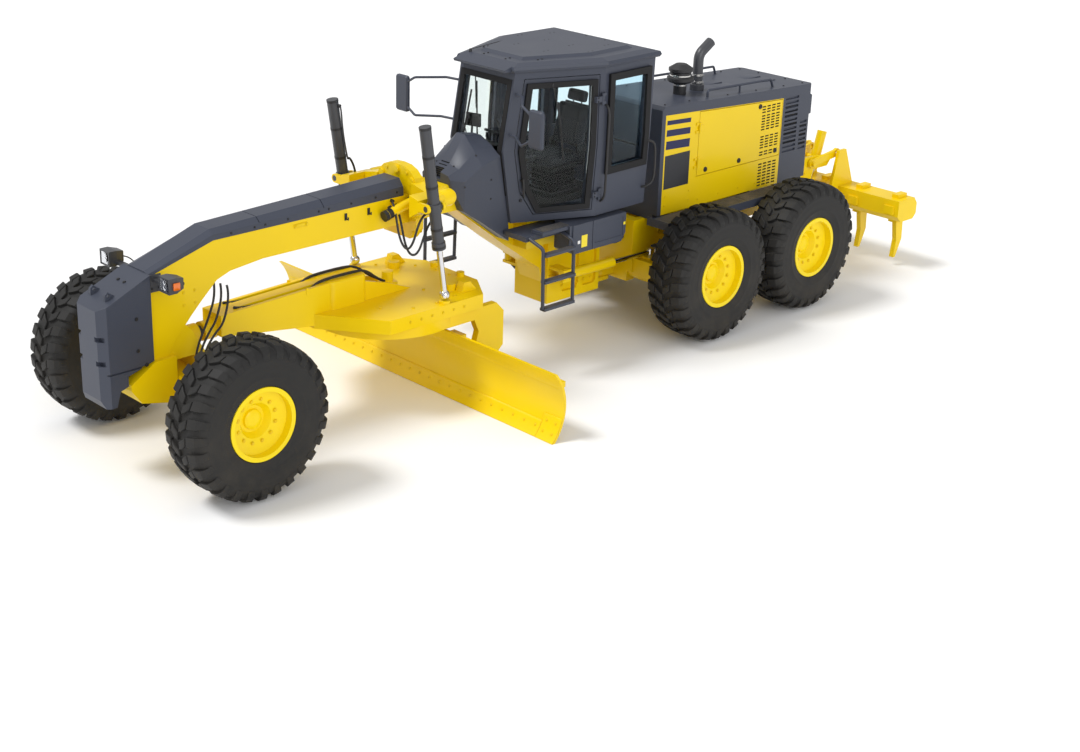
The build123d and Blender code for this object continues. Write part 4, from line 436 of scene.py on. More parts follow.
CAMERA_PLACE = (8.096, 12.806, 6.957)     # from the front axle's point on the ground
CAMERA_YAW = 3.974
CAMERA_PITCH = math.radians(21.82)
CAMERA_ROLL = 0.0155
CAMERA_LENS = 58.53
SENSOR_WIDTH = 36.0
CAMERA_SHIFT = (0.0729, -0.0166)


def make_camera():
    """Camera at the front left, a little above the cab's roof."""
    data = bpy.data.cameras.new("camera")
    data.lens = CAMERA_LENS
    data.sensor_width = SENSOR_WIDTH
    data.shift_x, data.shift_y = CAMERA_SHIFT
    data.clip_end = 200.0
    camera = bpy.data.objects.new("camera", data)
    ahead = Vector((math.cos(CAMERA_YAW) * math.cos(CAMERA_PITCH),
                    math.sin(CAMERA_YAW) * math.cos(CAMERA_PITCH), -math.sin(CAMERA_PITCH)))
    side = Vector((math.sin(CAMERA_YAW), -math.cos(CAMERA_YAW), 0.0))
    up = side.cross(ahead)
    tilted_side = math.cos(CAMERA_ROLL) * side + math.sin(CAMERA_ROLL) * up
    tilted_up = math.cos(CAMERA_ROLL) * up - math.sin(CAMERA_ROLL) * side
    turn = Matrix((tilted_side, tilted_up, -ahead)).transposed()
    place = Vector(CAMERA_PLACE) + Vector((FRONT_X, 0.0, 0.0))
    camera.matrix_world = Matrix.Translation(place) @ turn.to_4x4()
    bpy.context.scene.collection.objects.link(camera)
    bpy.context.scene.camera = camera


# ------------------------------------------------------------- making the pieces
def at(distance, y, z):
    """Point a distance aft of the front axle."""
    return Vector((FRONT_X - distance, y, z))


def drop_on(node, distance, y, top=4.0):
    """Height at which a CAD node is met from above, or None."""
    hit, place, _, _ = NODES[node].ray_cast(at(distance, y, top), (0, 0, -1))
    return place.z if hit else None


def meet_side(node, distance, y, z):
    """Y and normal where a CAD node is met by a line inward from a point, or None twice."""
    inward = (0, -math.copysign(1, y), 0)
    hit, place, normal, _ = NODES[node].ray_cast(at(distance, y, z), inward)
    return (place.y, normal) if hit else (None, None)


def flat_side(node, distance, y, z):
    """Y where a line inward meets a CAD node's upright side face, or None."""
    met, normal = meet_side(node, distance, y, z)
    return met if normal and abs(normal.y) > 0.95 else None


def to_piece(bm, name, material, body, sharp=32.0):
    """Turns a bmesh into a shaded piece that rides on a body."""
    bmesh.ops.recalc_face_normals(bm, faces=bm.faces)
    mesh = bpy.data.meshes.new(name)
    bm.to_mesh(mesh)
    bm.free()
    mesh.materials.append(MATERIALS[material])
    mesh.polygons.foreach_set("use_smooth", [True] * len(mesh.polygons))
    mesh.set_sharp_from_angle(angle=math.radians(sharp))
    piece = bpy.data.objects.new(name, mesh)
    bpy.context.scene.collection.objects.link(piece)
    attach(piece, body)
    return piece


def bevel_edges(bm, edges, width, segments=2):
    """Rounds the given edges."""
    bmesh.ops.bevel(bm, geom=list(edges), offset=width, offset_type="OFFSET", segments=segments,
                    profile=0.5, affect="EDGES", clamp_overlap=True, material=-1)


def sharp_edges(geometry, angle=0.5):
    """Edges of the given vertices whose faces meet at more than that angle, in radians."""
    edges = {edge for vert in geometry for edge in vert.link_edges}
    return [e for e in edges if len(e.link_faces) == 2 and e.calc_face_angle(0) > angle]


def between(table, place):
    """Values of a table of (place, values...) rows, in line between its rows."""
    for before, after in zip(table, table[1:]):
        if place <= after[0]:
            share = (place - before[0]) / (after[0] - before[0])
            return [a + share * (b - a) for a, b in zip(before[1:], after[1:])]
    return list(table[-1][1:])


def rounded_box(bm, first, second, radius=0.004, segments=2, turn=None):
    """Box between two corners, each (aft, y, z), with rounded edges, turned about its middle."""
    first, second = at(*first), at(*second)
    size = [abs(b - a) for a, b in zip(first, second)]
    place = Matrix.Translation((first + second) / 2)
    if turn is not None:
        place = place @ turn.to_4x4()
    made = bmesh.ops.create_cube(bm, size=1.0, matrix=place @ Matrix.Diagonal((*size, 1.0)))
    if radius:
        bevel_edges(bm, {e for v in made["verts"] for e in v.link_edges}, radius, segments)


def standing(place, outward):
    """Matrix that stands a shape made along Z at a place, pointing outward."""
    turn = Vector(outward).to_track_quat("Z", "Y").to_matrix().to_4x4()
    return Matrix.Translation(Vector(place)) @ turn


def rod(bm, start, end, radius, segments=16, end_radius=None):
    """Round bar between two points."""
    start, end = Vector(start), Vector(end)
    bmesh.ops.create_cone(
        bm, cap_ends=True, segments=segments, radius1=radius,
        radius2=radius if end_radius is None else end_radius, depth=(end - start).length,
        matrix=standing((start + end) / 2, end - start))


def turned_shape(name, rows, steps=24):
    """Mesh spun about Z from rows of (radius, height)."""
    bm = bmesh.new()
    verts = [bm.verts.new((radius, 0, height)) for radius, height in rows]
    edges = [bm.edges.new(pair) for pair in zip(verts, verts[1:])]
    bmesh.ops.spin(bm, geom=verts + edges, cent=(0, 0, 0), axis=(0, 0, 1), dvec=(0, 0, 0),
                   angle=math.tau, steps=steps, use_merge=True)
    bmesh.ops.remove_doubles(bm, verts=bm.verts, dist=1e-5)
    bmesh.ops.recalc_face_normals(bm, faces=bm.faces)
    mesh = bpy.data.meshes.new(name)
    bm.to_mesh(mesh)
    bm.free()
    return mesh


def stamp(bm, mesh, place, outward=(0, 0, 1), size=1.0):
    """Adds a copy of a shape at a place, its Z pointing outward."""
    shape = mesh.copy()
    shape.transform(standing(place, outward) @ Matrix.Scale(size, 4))
    bm.from_mesh(shape)
    bpy.data.meshes.remove(shape)


def hex_bolt():
    """Hexagon head on its washer, each corner one unit from the middle."""
    bm = bmesh.new()
    bmesh.ops.create_cone(bm, cap_ends=True, segments=14, radius1=1.35, radius2=1.3, depth=0.24,
                          matrix=Matrix.Translation((0, 0, 0.10)))
    head = bmesh.ops.create_cone(bm, cap_ends=True, segments=6, radius1=1.0, radius2=1.0,
                                 depth=0.7, matrix=Matrix.Translation((0, 0, 0.55)))
    top = [e for v in head["verts"] for e in v.link_edges if all(w.co.z > 0.8 for w in e.verts)]
    bevel_edges(bm, set(top), 0.12, 1)
    mesh = bpy.data.meshes.new("hex_bolt")
    bm.to_mesh(mesh)
    bm.free()
    return mesh


BOLT = hex_bolt()


def turns(count, start=0.0):
    """Angles of equal steps round a circle."""
    return [(step + start) * math.tau / count for step in range(count)]


OUT = {"left": (0, 1, 0), "right": (0, -1, 0), "up": (0, 0, 1), "down": (0, 0, -1),
       "ahead": (1, 0, 0), "back": (-1, 0, 0)}


def bolts(name, body, places, material="zinc_bolt"):
    """Bolts from rows of (aft, y, z, outward, size): one piece."""
    bm = bmesh.new()
    for distance, y, z, outward, size in places:
        stamp(bm, BOLT, at(distance, y, z), OUT.get(outward, outward), size)
    return to_piece(bm, name, material, body, 30.0)


def pipe_runs(name, runs, radius, material, body):
    """Bent tubes, each through its points (aft, y, z)."""
    curve = bpy.data.curves.new(name, "CURVE")
    curve.dimensions = "3D"
    curve.bevel_depth = radius
    curve.bevel_resolution = 3
    curve.resolution_u = 10
    curve.use_fill_caps = True
    for points in runs:
        spline = curve.splines.new("NURBS")
        spline.points.add(len(points) - 1)
        for point, place in zip(spline.points, points):
            point.co = (*at(*place), 1.0)
        spline.order_u = 3
        spline.use_endpoint_u = True
    curve.materials.append(MATERIALS[material])
    piece = bpy.data.objects.new(name, curve)
    bpy.context.scene.collection.objects.link(piece)
    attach(piece, body)
    return piece


def hose_across(name, points, radius, first_body):
    """Hose between two jointed bodies, left as a plain mesh in place, riding on neither."""
    piece = pipe_runs(name, (points,), radius, "hose_rubber", first_body)
    bpy.context.view_layer.update()
    graph = bpy.context.evaluated_depsgraph_get()
    mesh = bpy.data.meshes.new_from_object(piece.evaluated_get(graph))
    mesh.materials.clear()
    mesh.materials.append(MATERIALS["hose_rubber"])
    bpy.data.objects.remove(piece)
    hose = bpy.data.objects.new(name, mesh)
    bpy.context.scene.collection.objects.link(hose)
    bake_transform(hose)
    return hose


# ----------------------------------------------------------------------- wheels
TYRE_PROFILE = (  # across from the middle, radius: half a section, from crown to bead
    (0.0, 0.706), (0.10, 0.704), (0.17, 0.698), (0.212, 0.684), (0.236, 0.660),
    (0.249, 0.625), (0.256, 0.600), (0.2575, 0.585), (0.255, 0.575), (0.258, 0.540),
    (0.257, 0.500), (0.252, 0.455), (0.254, 0.448), (0.254, 0.436), (0.249, 0.425),
    (0.240, 0.392), (0.236, 0.366), (0.227, 0.352), (0.211, 0.349), (0.204, 0.322),
)
TYRE_STEPS = 96
LUG_PITCHES = 28
TREAD_R = 0.74
LUG_TAPER = 0.12        # how much narrower a lug is at its top
LUG_ROUNDING = 0.006
LUG_ROWS = (  # across from the middle, middle of the lug round the tread, half width, top, base
    ((0.006, 0.062, 0.040, 0.736, 0.690), (0.055, 0.040, 0.047, 0.7375, 0.690),
     (0.102, -0.006, 0.043, 0.736, 0.690)),
    ((0.114, -0.010, 0.052, 0.736, 0.690), (0.185, -0.022, 0.055, 0.733, 0.680),
     (0.222, -0.030, 0.052, 0.722, 0.655), (0.250, -0.036, 0.046, 0.690, 0.610),
     (0.2595, -0.038, 0.040, 0.655, 0.600)),
)


def tread_lug(bm, row):
    """One block of the tread, bent round the tyre."""
    mid = (row[0][0] + row[-1][0]) / 2
    size = Matrix.Diagonal((2.0, row[-1][0] - row[0][0], 1.0, 1.0))
    made = bmesh.ops.create_cube(bm, size=1.0, matrix=Matrix.Translation((0, mid, 0.5)) @ size)
    faces = {face for vert in made["verts"] for face in vert.link_faces}
    for station in row[1:-1]:
        shape = list(faces) + list({e for f in faces for e in f.edges}) + \
            list({v for f in faces for v in f.verts})
        cut = bmesh.ops.bisect_plane(bm, geom=shape, plane_co=(0, station[0], 0),
                                     plane_no=(0, 1, 0))
        faces = {g for g in cut["geom"] if isinstance(g, bmesh.types.BMFace)}
    verts = {vert for face in faces for vert in face.verts}
    for vert in verts:
        across = vert.co.y
        around, half, top, base = between(row, across)
        radius = base + vert.co.z * (top - base)
        turn = (around + vert.co.x * half * (1.0 - LUG_TAPER * vert.co.z)) / TREAD_R
        vert.co = (radius * math.sin(turn), across, radius * math.cos(turn))
    bevel_edges(bm, sharp_edges(verts, 0.6), LUG_ROUNDING, 1)


def tyre_mesh():
    """Carcass spun from its section, with two staggered rows of lugs."""
    bm = bmesh.new()
    half = [bm.verts.new((0, y, r)) for y, r in reversed(TYRE_PROFILE)]
    half += [bm.verts.new((0, -y, r)) for y, r in TYRE_PROFILE[1:]]
    edges = [bm.edges.new(pair) for pair in zip(half, half[1:])]
    bmesh.ops.spin(bm, geom=half + edges, cent=(0, 0, 0), axis=(0, 1, 0), dvec=(0, 0, 0),
                   angle=math.tau, steps=TYRE_STEPS, use_merge=True)
    lugs = bmesh.new()
    for row in LUG_ROWS:
        tread_lug(lugs, row)
    other = bmesh.ops.duplicate(lugs, geom=lugs.verts[:] + lugs.edges[:] + lugs.faces[:])
    turned = [g for g in other["geom"] if isinstance(g, bmesh.types.BMVert)]
    bmesh.ops.scale(lugs, vec=(1, -1, 1), verts=turned)
    bmesh.ops.rotate(lugs, verts=turned, cent=(0, 0, 0),
                     matrix=Matrix.Rotation(math.pi / LUG_PITCHES, 3, "Y"))
    bmesh.ops.recalc_face_normals(lugs, faces=lugs.faces)
    bmesh.ops.spin(lugs, geom=lugs.verts[:] + lugs.edges[:] + lugs.faces[:], cent=(0, 0, 0),
                   axis=(0, 1, 0), dvec=(0, 0, 0), angle=math.tau * (1 - 1 / LUG_PITCHES),
                   steps=LUG_PITCHES - 1, use_duplicate=True)
    lug_mesh = bpy.data.meshes.new("lugs")
    lugs.to_mesh(lug_mesh)
    lugs.free()
    bm.from_mesh(lug_mesh)
    bpy.data.meshes.remove(lug_mesh)
    return bm


WHEELS = [(axle, side) for axle in ("front", "mid", "rear") for side in ("left", "right")]


def make_tyres():
    """Each wheel's tyre, in place of its plainer solid."""
    for axle, side in WHEELS:
        bm = tyre_mesh()
        bmesh.ops.translate(bm, verts=bm.verts, vec=middle(f"tyre_{axle}_{side}"))
        tyre = to_piece(bm, f"road_tyre_{axle}_{side}", "tyre", f"wheel_{axle}_{side}", 28.0)
        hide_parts(f"tyre_{axle}_{side}")


# -------------------------------------------------------------------------- cab
CAB_LEVELS = (  # height; aft and y of the front corner, of the door post, of the rear corner
    (1.56, 3.85, 0.40, 4.70, 0.77, 5.47, 0.750),
    (2.33, 3.72, 0.40, 4.74, 0.79, 5.50, 0.765),
    (3.12, 3.86, 0.40, 4.77, 0.77, 5.54, 0.750),
)
BELT_Z = 2.33
DOOR_WINDOW = ((4.00, 2.96), (3.905, 2.33), (3.975, 1.96), (4.13, 1.70), (4.59, 1.70),
               (4.62, 2.33), (4.64, 2.96))
REAR_SIDE_WINDOW = ((4.88, 2.98), (4.86, 2.33), (4.86, 2.05), (5.38, 2.05), (5.39, 2.33),
                    (5.40, 2.98))
FRONT_WINDOW = ((-0.33, 3.00), (-0.33, 2.33), (-0.33, 1.90), (0.33, 1.90), (0.33, 2.33),
                (0.33, 3.00))
REAR_WINDOW = ((-0.64, 3.00), (-0.64, 2.33), (-0.64, 2.15), (0.64, 2.15), (0.64, 2.33),
               (0.64, 3.00))


def cab_side_y(distance, z):
    """How far out the cab's outer side face is at a place."""
    front, front_y, post, post_y, rear, rear_y = between(CAB_LEVELS, z)
    if distance <= post:
        return front_y + (distance - front) / (post - front) * (post_y - front_y)
    return post_y + (distance - post) / (rear - post) * (rear_y - post_y)


def on_side(side):
    """Gives points sunk into the cab's side wall, side 1 left and -1 right."""
    return lambda u, z, sink: at(u, side * (cab_side_y(u, z) - sink), z)


def on_front(u, z, sink):
    """Point sunk into the cab's front wall."""
    return at(between(CAB_LEVELS, z)[0] + sink, u, z)


def on_rear(u, z, sink):
    """Point sunk into the cab's rear wall."""
    return at(between(CAB_LEVELS, z)[4] - sink, u, z)


def sheet_on_wall(outline, wall, sink, thickness, outset=0.0, inset=0.0):
    """Sheet over a window's outline on the cab's wall, or with an outset, the strip round it."""
    bm = bmesh.new()
    face = bm.faces.new([bm.verts.new((u, 0, z)) for u, z in outline])
    if outset:
        bm.normal_update()
        bmesh.ops.inset_individual(bm, faces=[face], thickness=-outset, use_even_offset=True)
        bmesh.ops.inset_individual(bm, faces=[face], thickness=outset + inset,
                                   use_even_offset=True)
        ring = [f for f in bm.faces if f is not face and any(v in face.verts for v in f.verts)]
        bmesh.ops.delete(bm, geom=[f for f in bm.faces if f not in ring], context="FACES")
    bmesh.ops.bisect_plane(bm, geom=bm.verts[:] + bm.edges[:] + bm.faces[:],
                           plane_co=(0, 0, BELT_Z), plane_no=(0, 0, 1))
    for vert in bm.verts:
        vert.co = wall(vert.co.x, vert.co.z, sink)
    bmesh.ops.recalc_face_normals(bm, faces=bm.faces)
    bmesh.ops.solidify(bm, geom=bm.faces[:], thickness=thickness)
    return bm


DOOR_FRONT_POINTS = 4       # of the door window's outline, from its top front corner on
DOOR_FRONT_Y = 0.48
DOOR_SLANT = 0.52           # forward for each metre outward


def slanted(outline):
    """Door window's outline on the wall: its front edge leans forward as the wall goes out."""
    points = []
    for index, (u, z) in enumerate(outline):
        place = u
        if index < DOOR_FRONT_POINTS:
            for _ in range(4):
                place = u - (cab_side_y(place, z) - DOOR_FRONT_Y) * DOOR_SLANT
        points.append((place, z))
    return points


WINDOWS = (  # name, outline, wall, body, glass, width of the black band on the wall
    ("door_window_left", slanted(DOOR_WINDOW), on_side(1), "cab_door_left", "pane_clear", 0.042),
    ("door_window_right", slanted(DOOR_WINDOW), on_side(-1), "cab_door_right", "pane_clear",
     0.042),
    ("side_window_left", REAR_SIDE_WINDOW, on_side(1), "front_frame", "pane_blue", 0.058),
    ("side_window_right", REAR_SIDE_WINDOW, on_side(-1), "front_frame", "pane_blue", 0.058),
    ("front_window", FRONT_WINDOW, on_front, "front_frame", "pane_clear", 0.045),
    ("rear_window", REAR_WINDOW, on_rear, "front_frame", "pane_blue", 0.050),
)


PANE_SINK, PANE_T = 0.022, 0.005
BAND_PROUD, BAND_T, BAND_LAP = 0.006, 0.028, 0.014


def make_windows():
    """Pane of each window and the black band round it."""
    for name, outline, wall, body, glass, band in WINDOWS:
        pane = sheet_on_wall(outline, wall, PANE_SINK, PANE_T)
        to_piece(pane, name, glass, body, 20.0)
        strip = sheet_on_wall(outline, wall, -BAND_PROUD, BAND_T, band, BAND_LAP)
        to_piece(strip, f"{name}_seal", "seal_rubber", body, 40.0)


def make_wipers():
    """Front wiper, a wiper on each door, and their motors."""
    bm = bmesh.new()
    motor = on_front(0.0, 1.93, -0.012)
    tip = on_front(-0.20, 2.52, -0.030)
    rod(bm, on_front(0.0, 1.93, 0.01), on_front(0.0, 1.93, -0.035), 0.024)
    rod(bm, motor + Vector((0.016, 0, 0)), tip, 0.006, 8)
    rod(bm, on_front(-0.24, 2.20, -0.026), on_front(-0.16, 2.86, -0.026), 0.009, 8)
    rod(bm, on_front(-0.24, 2.20, -0.017), on_front(-0.16, 2.86, -0.017), 0.004, 8)
    to_piece(bm, "front_wiper", "black_plastic", "front_frame")
    for name, side in SIDES:
        wall = on_side(side)
        bm = bmesh.new()
        rod(bm, wall(4.22, 2.975, 0.0), wall(4.22, 2.975, -0.035), 0.022)
        rod(bm, wall(4.22, 2.975, -0.026), wall(4.30, 2.50, -0.030), 0.006, 8)
        rod(bm, wall(4.33, 2.20, -0.024), wall(4.27, 2.80, -0.024), 0.008, 8)
        rod(bm, wall(4.33, 2.20, -0.015), wall(4.27, 2.80, -0.015), 0.004, 8)
        to_piece(bm, f"door_wiper_{name}", "black_plastic", f"cab_door_{name}")


def make_door_trim():
    """Handle and lock of each door, its inner pull bar and its hinge bolts."""
    for name, side in SIDES:
        wall = on_side(side)
        bm = bmesh.new()
        low, high = wall(3.93, 1.86, -0.004), wall(3.91, 2.02, -0.004)
        rod(bm, low, low + Vector((0, side * 0.05, 0)), 0.008, 10)
        rod(bm, high, high + Vector((0, side * 0.05, 0)), 0.008, 10)
        rod(bm, low + Vector((0, side * 0.046, -0.02)), high + Vector((0, side * 0.046, 0.02)),
            0.011, 12)
        rod(bm, wall(3.93, 1.80, 0.0), wall(3.93, 1.80, -0.012), 0.016, 16)
        to_piece(bm, f"door_handle_{name}", "black_plastic", f"cab_door_{name}")
        inner = [(4.66, side * (cab_side_y(4.66, 1.95) - 0.055), 1.80),
                 (4.655, side * (cab_side_y(4.66, 1.95) - 0.11), 1.82),
                 (4.655, side * (cab_side_y(4.66, 2.1) - 0.115), 2.05),
                 (4.655, side * (cab_side_y(4.66, 2.3) - 0.11), 2.28),
                 (4.66, side * (cab_side_y(4.66, 2.3) - 0.055), 2.30)]
        pipe_runs(f"door_pull_{name}", (inner,), 0.011, "black_plastic", f"cab_door_{name}")
        bolts(f"door_hinge_bolts_{name}", f"cab_door_{name}",
              [(4.655, side * 0.803, z + dz, name, 0.007)
               for z in (1.80, 2.80) for dz in (-0.018, 0.018)], "black_bolt")


def make_cab_rails():
    """Grab rails on the cab's corners."""
    for name, side in SIDES:
        rear = [(5.43, side * 0.765, 2.26), (5.45, side * 0.80, 2.25), (5.52, side * 0.83, 2.22),
                (5.53, side * 0.83, 2.00), (5.52, side * 0.83, 1.80), (5.44, side * 0.80, 1.75),
                (5.42, side * 0.755, 1.74)]
        front = [(4.755, side * 0.79, 1.72), (4.755, side * 0.85, 1.74),
                 (4.755, side * 0.855, 2.00), (4.765, side * 0.855, 2.50),
                 (4.77, side * 0.85, 2.72), (4.77, side * 0.785, 2.74)]
        pipe_runs(f"grab_rails_{name}", (rear, front), 0.013, "black_plastic", "front_frame")


ROOF_BOLTS = (  # aft, y of pairs of bolts across the roof
    (3.98, 0.16), (3.98, -0.16), (4.20, 0.40), (4.20, -0.40), (4.46, 0.22), (4.46, -0.22),
    (4.80, 0.52), (4.80, -0.52), (4.86, 0.18), (4.86, -0.18), (5.16, 0.40), (5.16, -0.40),
    (5.38, 0.14), (5.38, -0.14),
)


def make_roof_trim():
    """Roof bolts, and a cap with the antenna laid back."""
    rows = []
    for distance, y in ROOF_BOLTS:
        for step in (-0.03, 0.03):
            z = min(drop_on("cab_roof", distance + step, y), cad_box[1][2] - 0.006)
            rows.append((distance + step, y, z, "up", 0.009))
    bolts("roof_bolts", "front_frame", rows, "black_bolt")
    bm = bmesh.new()
    cap = turned_shape("roof_cap", ((0, 0.016), (0.03, 0.014), (0.045, 0.004), (0.05, -0.006)))
    stamp(bm, cap, at(4.62, 0.0, cad_box[1][2] - 0.0105), size=0.6)
    foot = at(3.92, -0.33, drop_on("cab_roof", 3.92, -0.33) - 0.002)
    rod(bm, foot, foot + Vector((0, 0, 0.03)), 0.018, 14, 0.012)
    tip_z = min(drop_on("cab_roof", 4.75, -0.50) + 0.010, cad_box[1][2] - 0.006)
    rod(bm, foot + Vector((0, 0, 0.024)), at(4.75, -0.50, tip_z), 0.0035, 8)
    to_piece(bm, "roof_cap_antenna", "black_plastic", "front_frame")


# -------------------------------------------------------------- inside the cab
def make_cabin_trim():
    """Ribbed floor mat, pedals, and the dash with its screen on a stalk."""
    bm = bmesh.new()
    rounded_box(bm, (3.96, -0.36, 1.621), (5.36, 0.36, 1.628), 0.003)
    for rib in range(24):
        rounded_box(bm, (4.02 + rib * 0.022, -0.30, 1.627), (4.03 + rib * 0.022, 0.30, 1.631), 0)
    to_piece(bm, "floor_mat", "floor_mat", "front_frame")
    bm = bmesh.new()
    lean = Matrix.Rotation(math.radians(-18), 3, "Y")
    for y in (-0.17, 0.17):
        rounded_box(bm, (4.13, y - 0.045, 1.66), (4.20, y + 0.045, 1.675), 0.004, 2, lean)
        rod(bm, at(4.17, y, 1.628), at(4.165, y, 1.668), 0.012, 10)
    to_piece(bm, "pedals", "dark_steel", "front_frame")
    bm = bmesh.new()
    face = Matrix.Rotation(math.radians(14), 3, "Z")
    rounded_box(bm, (3.95, -0.40, 2.42), (3.975, -0.22, 2.56), 0.006, 2, face)
    rod(bm, at(3.955, -0.33, 2.30), at(3.955, -0.32, 2.43), 0.012, 10)
    rounded_box(bm, (3.90, -0.38, 2.27), (4.01, 0.38, 2.305), 0.008)
    to_piece(bm, "dash_screen_housing", "black_plastic", "front_frame")
    bm = bmesh.new()
    rounded_box(bm, (3.972, -0.385, 2.435), (3.979, -0.235, 2.545), 0.002, 1, face)
    to_piece(bm, "dash_screen", "screen_dark", "front_frame")


SWELL_FRAMES = 20


def swell(piece, pressure, cap):
    """Cloth under pressure fills a cushion's shape, no point moving farther than the cap."""
    modifier = piece.modifiers.new("swell", "CLOTH")
    cloth = modifier.settings
    cloth.use_pressure = True
    cloth.uniform_pressure_force = pressure
    cloth.effector_weights.gravity = 0.0
    cloth.tension_stiffness = 25.0
    cloth.bending_stiffness = 2.0
    scene = bpy.context.scene
    modifier.point_cache.frame_start, modifier.point_cache.frame_end = 1, SWELL_FRAMES
    rest = [vert.co.copy() for vert in piece.data.vertices]
    for frame_number in range(1, SWELL_FRAMES + 1):
        scene.frame_set(frame_number)
    graph = bpy.context.evaluated_depsgraph_get()
    shape = bpy.data.meshes.new_from_object(piece.evaluated_get(graph))
    piece.modifiers.clear()
    for vert, start in zip(shape.vertices, rest):
        step = vert.co - start
        if step.length > cap:
            vert.co = start + step * (cap / step.length)
    piece.data = shape
    scene.frame_set(1)


def cushion(name, corners, turn, radius, channels, voxel=0.006, cap=0.014):
    """Stuffed pad: a rounded block, pulled in along its sewn channels and swollen."""
    bm = bmesh.new()
    rounded_box(bm, *corners, radius, 4, turn)
    mesh = bpy.data.meshes.new(name)
    bm.to_mesh(mesh)
    bm.free()
    pad = bpy.data.objects.new(name, mesh)
    bpy.context.scene.collection.objects.link(pad)
    remesh = pad.modifiers.new("even", "REMESH")
    remesh.mode = "VOXEL"
    remesh.voxel_size = voxel
    bpy.context.view_layer.update()
    graph = bpy.context.evaluated_depsgraph_get()
    even = bpy.data.meshes.new_from_object(pad.evaluated_get(graph))
    pad.modifiers.clear()
    pad.data = even
    swell(pad, 4.0, cap)
    centre = (at(*corners[0]) + at(*corners[1])) / 2
    upright = (turn or Matrix.Identity(3)).inverted()
    for vert in pad.data.vertices:
        local = upright @ (vert.co - centre)
        for axis, place, top_axis, depth, width in channels:
            gap = abs(local[axis] - place)
            if gap < width * 3 and local[top_axis[0]] * top_axis[1] > 0:
                pull = depth * math.exp(-(gap / width) ** 2)
                shift = Vector((0, 0, 0))
                shift[top_axis[0]] = -pull * top_axis[1]
                vert.co += (turn or Matrix.Identity(3)) @ shift
    pad.data.materials.clear()
    pad.data.materials.append(MATERIALS["seat_fabric"])
    pad.data.polygons.foreach_set("use_smooth", [True] * len(pad.data.polygons))
    smooth = pad.modifiers.new("smooth", "SUBSURF")
    smooth.levels = smooth.render_levels = 1
    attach(pad, "front_frame")
    return pad


BACK_LEAN = math.radians(-14.5)


def make_seat():
    """Sprung seat: plinth, bellows, pan, stuffed cushion, back and headrest."""
    lean = Matrix.Rotation(BACK_LEAN, 3, "Y")
    seat = [
        cushion("seat_cushion", ((4.575, -0.235, 1.972), (5.065, 0.235, 2.066)), None, 0.035,
                ((1, 0.13, (2, 1), 0.010, 0.010), (1, -0.13, (2, 1), 0.010, 0.010),
                 (0, -0.10, (2, 1), 0.006, 0.009))),
        cushion("seat_back", ((5.055, -0.225, 2.095), (5.145, 0.225, 2.545)), lean, 0.035,
                ((1, 0.125, (0, 1), 0.010, 0.010), (1, -0.125, (0, 1), 0.010, 0.010),
                 (2, 0.05, (0, 1), 0.006, 0.009))),
        cushion("seat_headrest", ((5.145, -0.13, 2.565), (5.215, 0.13, 2.685)), lean, 0.028, ()),
    ]
    bm = bmesh.new()
    rounded_box(bm, (4.61, -0.19, 1.6203), (5.07, 0.19, 1.675), 0.012)
    rounded_box(bm, (4.585, -0.235, 1.925), (5.06, 0.235, 1.968), 0.014)
    rounded_box(bm, (5.155, -0.215, 2.09), (5.172, 0.215, 2.54), 0.007, 2, lean)
    for y in (-0.06, 0.06):
        rod(bm, at(5.165, y, 2.50), at(5.20, y, 2.64), 0.007, 10)
    for y in (-0.20, 0.20):
        rounded_box(bm, (4.98, y - 0.015, 1.95), (5.12, y + 0.015, 2.16), 0.010, 2)
    to_piece(bm, "seat_frame", "black_plastic", "front_frame")
    bm = bmesh.new()
    for fold in range(7):
        grow = 0.0 if fold % 2 else 0.014
        rounded_box(bm, (4.66 - grow, -0.15 - grow, 1.675 + fold * 0.036),
                    (5.02 + grow, 0.15 + grow, 1.711 + fold * 0.036), 0.012)
    bellows = to_piece(bm, "seat_bellows", "seal_rubber", "front_frame", 50.0)
    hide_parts("operator_seat")
    belt = [(5.02, 0.245, 2.00), (4.98, 0.25, 2.08), (5.03, 0.22, 2.12), (5.07, 0.18, 2.16)]
    pipe_runs("seat_belt_stalk", (belt,), 0.009, "black_plastic", "front_frame")
    return seat


# -------------------------------------------------- beam, saddle and front end
PUSH_BOLT_AFT = -0.50


def make_push_block_trim():
    """Bolts that hold the front block, on its two sides and on its top."""
    rows = []
    for name, side in SIDES:
        for distance, z in ((PUSH_BOLT_AFT, 0.90), (PUSH_BOLT_AFT, 1.20), (PUSH_BOLT_AFT, 1.50),
                            (-0.42, 1.05)):
            y = flat_side("push_block", distance, side * 0.8, z)
            if y:
                rows.append((distance, y, z, name, 0.014))
        z = drop_on("push_block", PUSH_BOLT_AFT, side * 0.05)
        if z:
            rows.append((PUSH_BOLT_AFT, side * 0.05, z - 0.001, "up", 0.014))
    bolts("front_block_bolts", "front_frame", rows, "black_bolt")


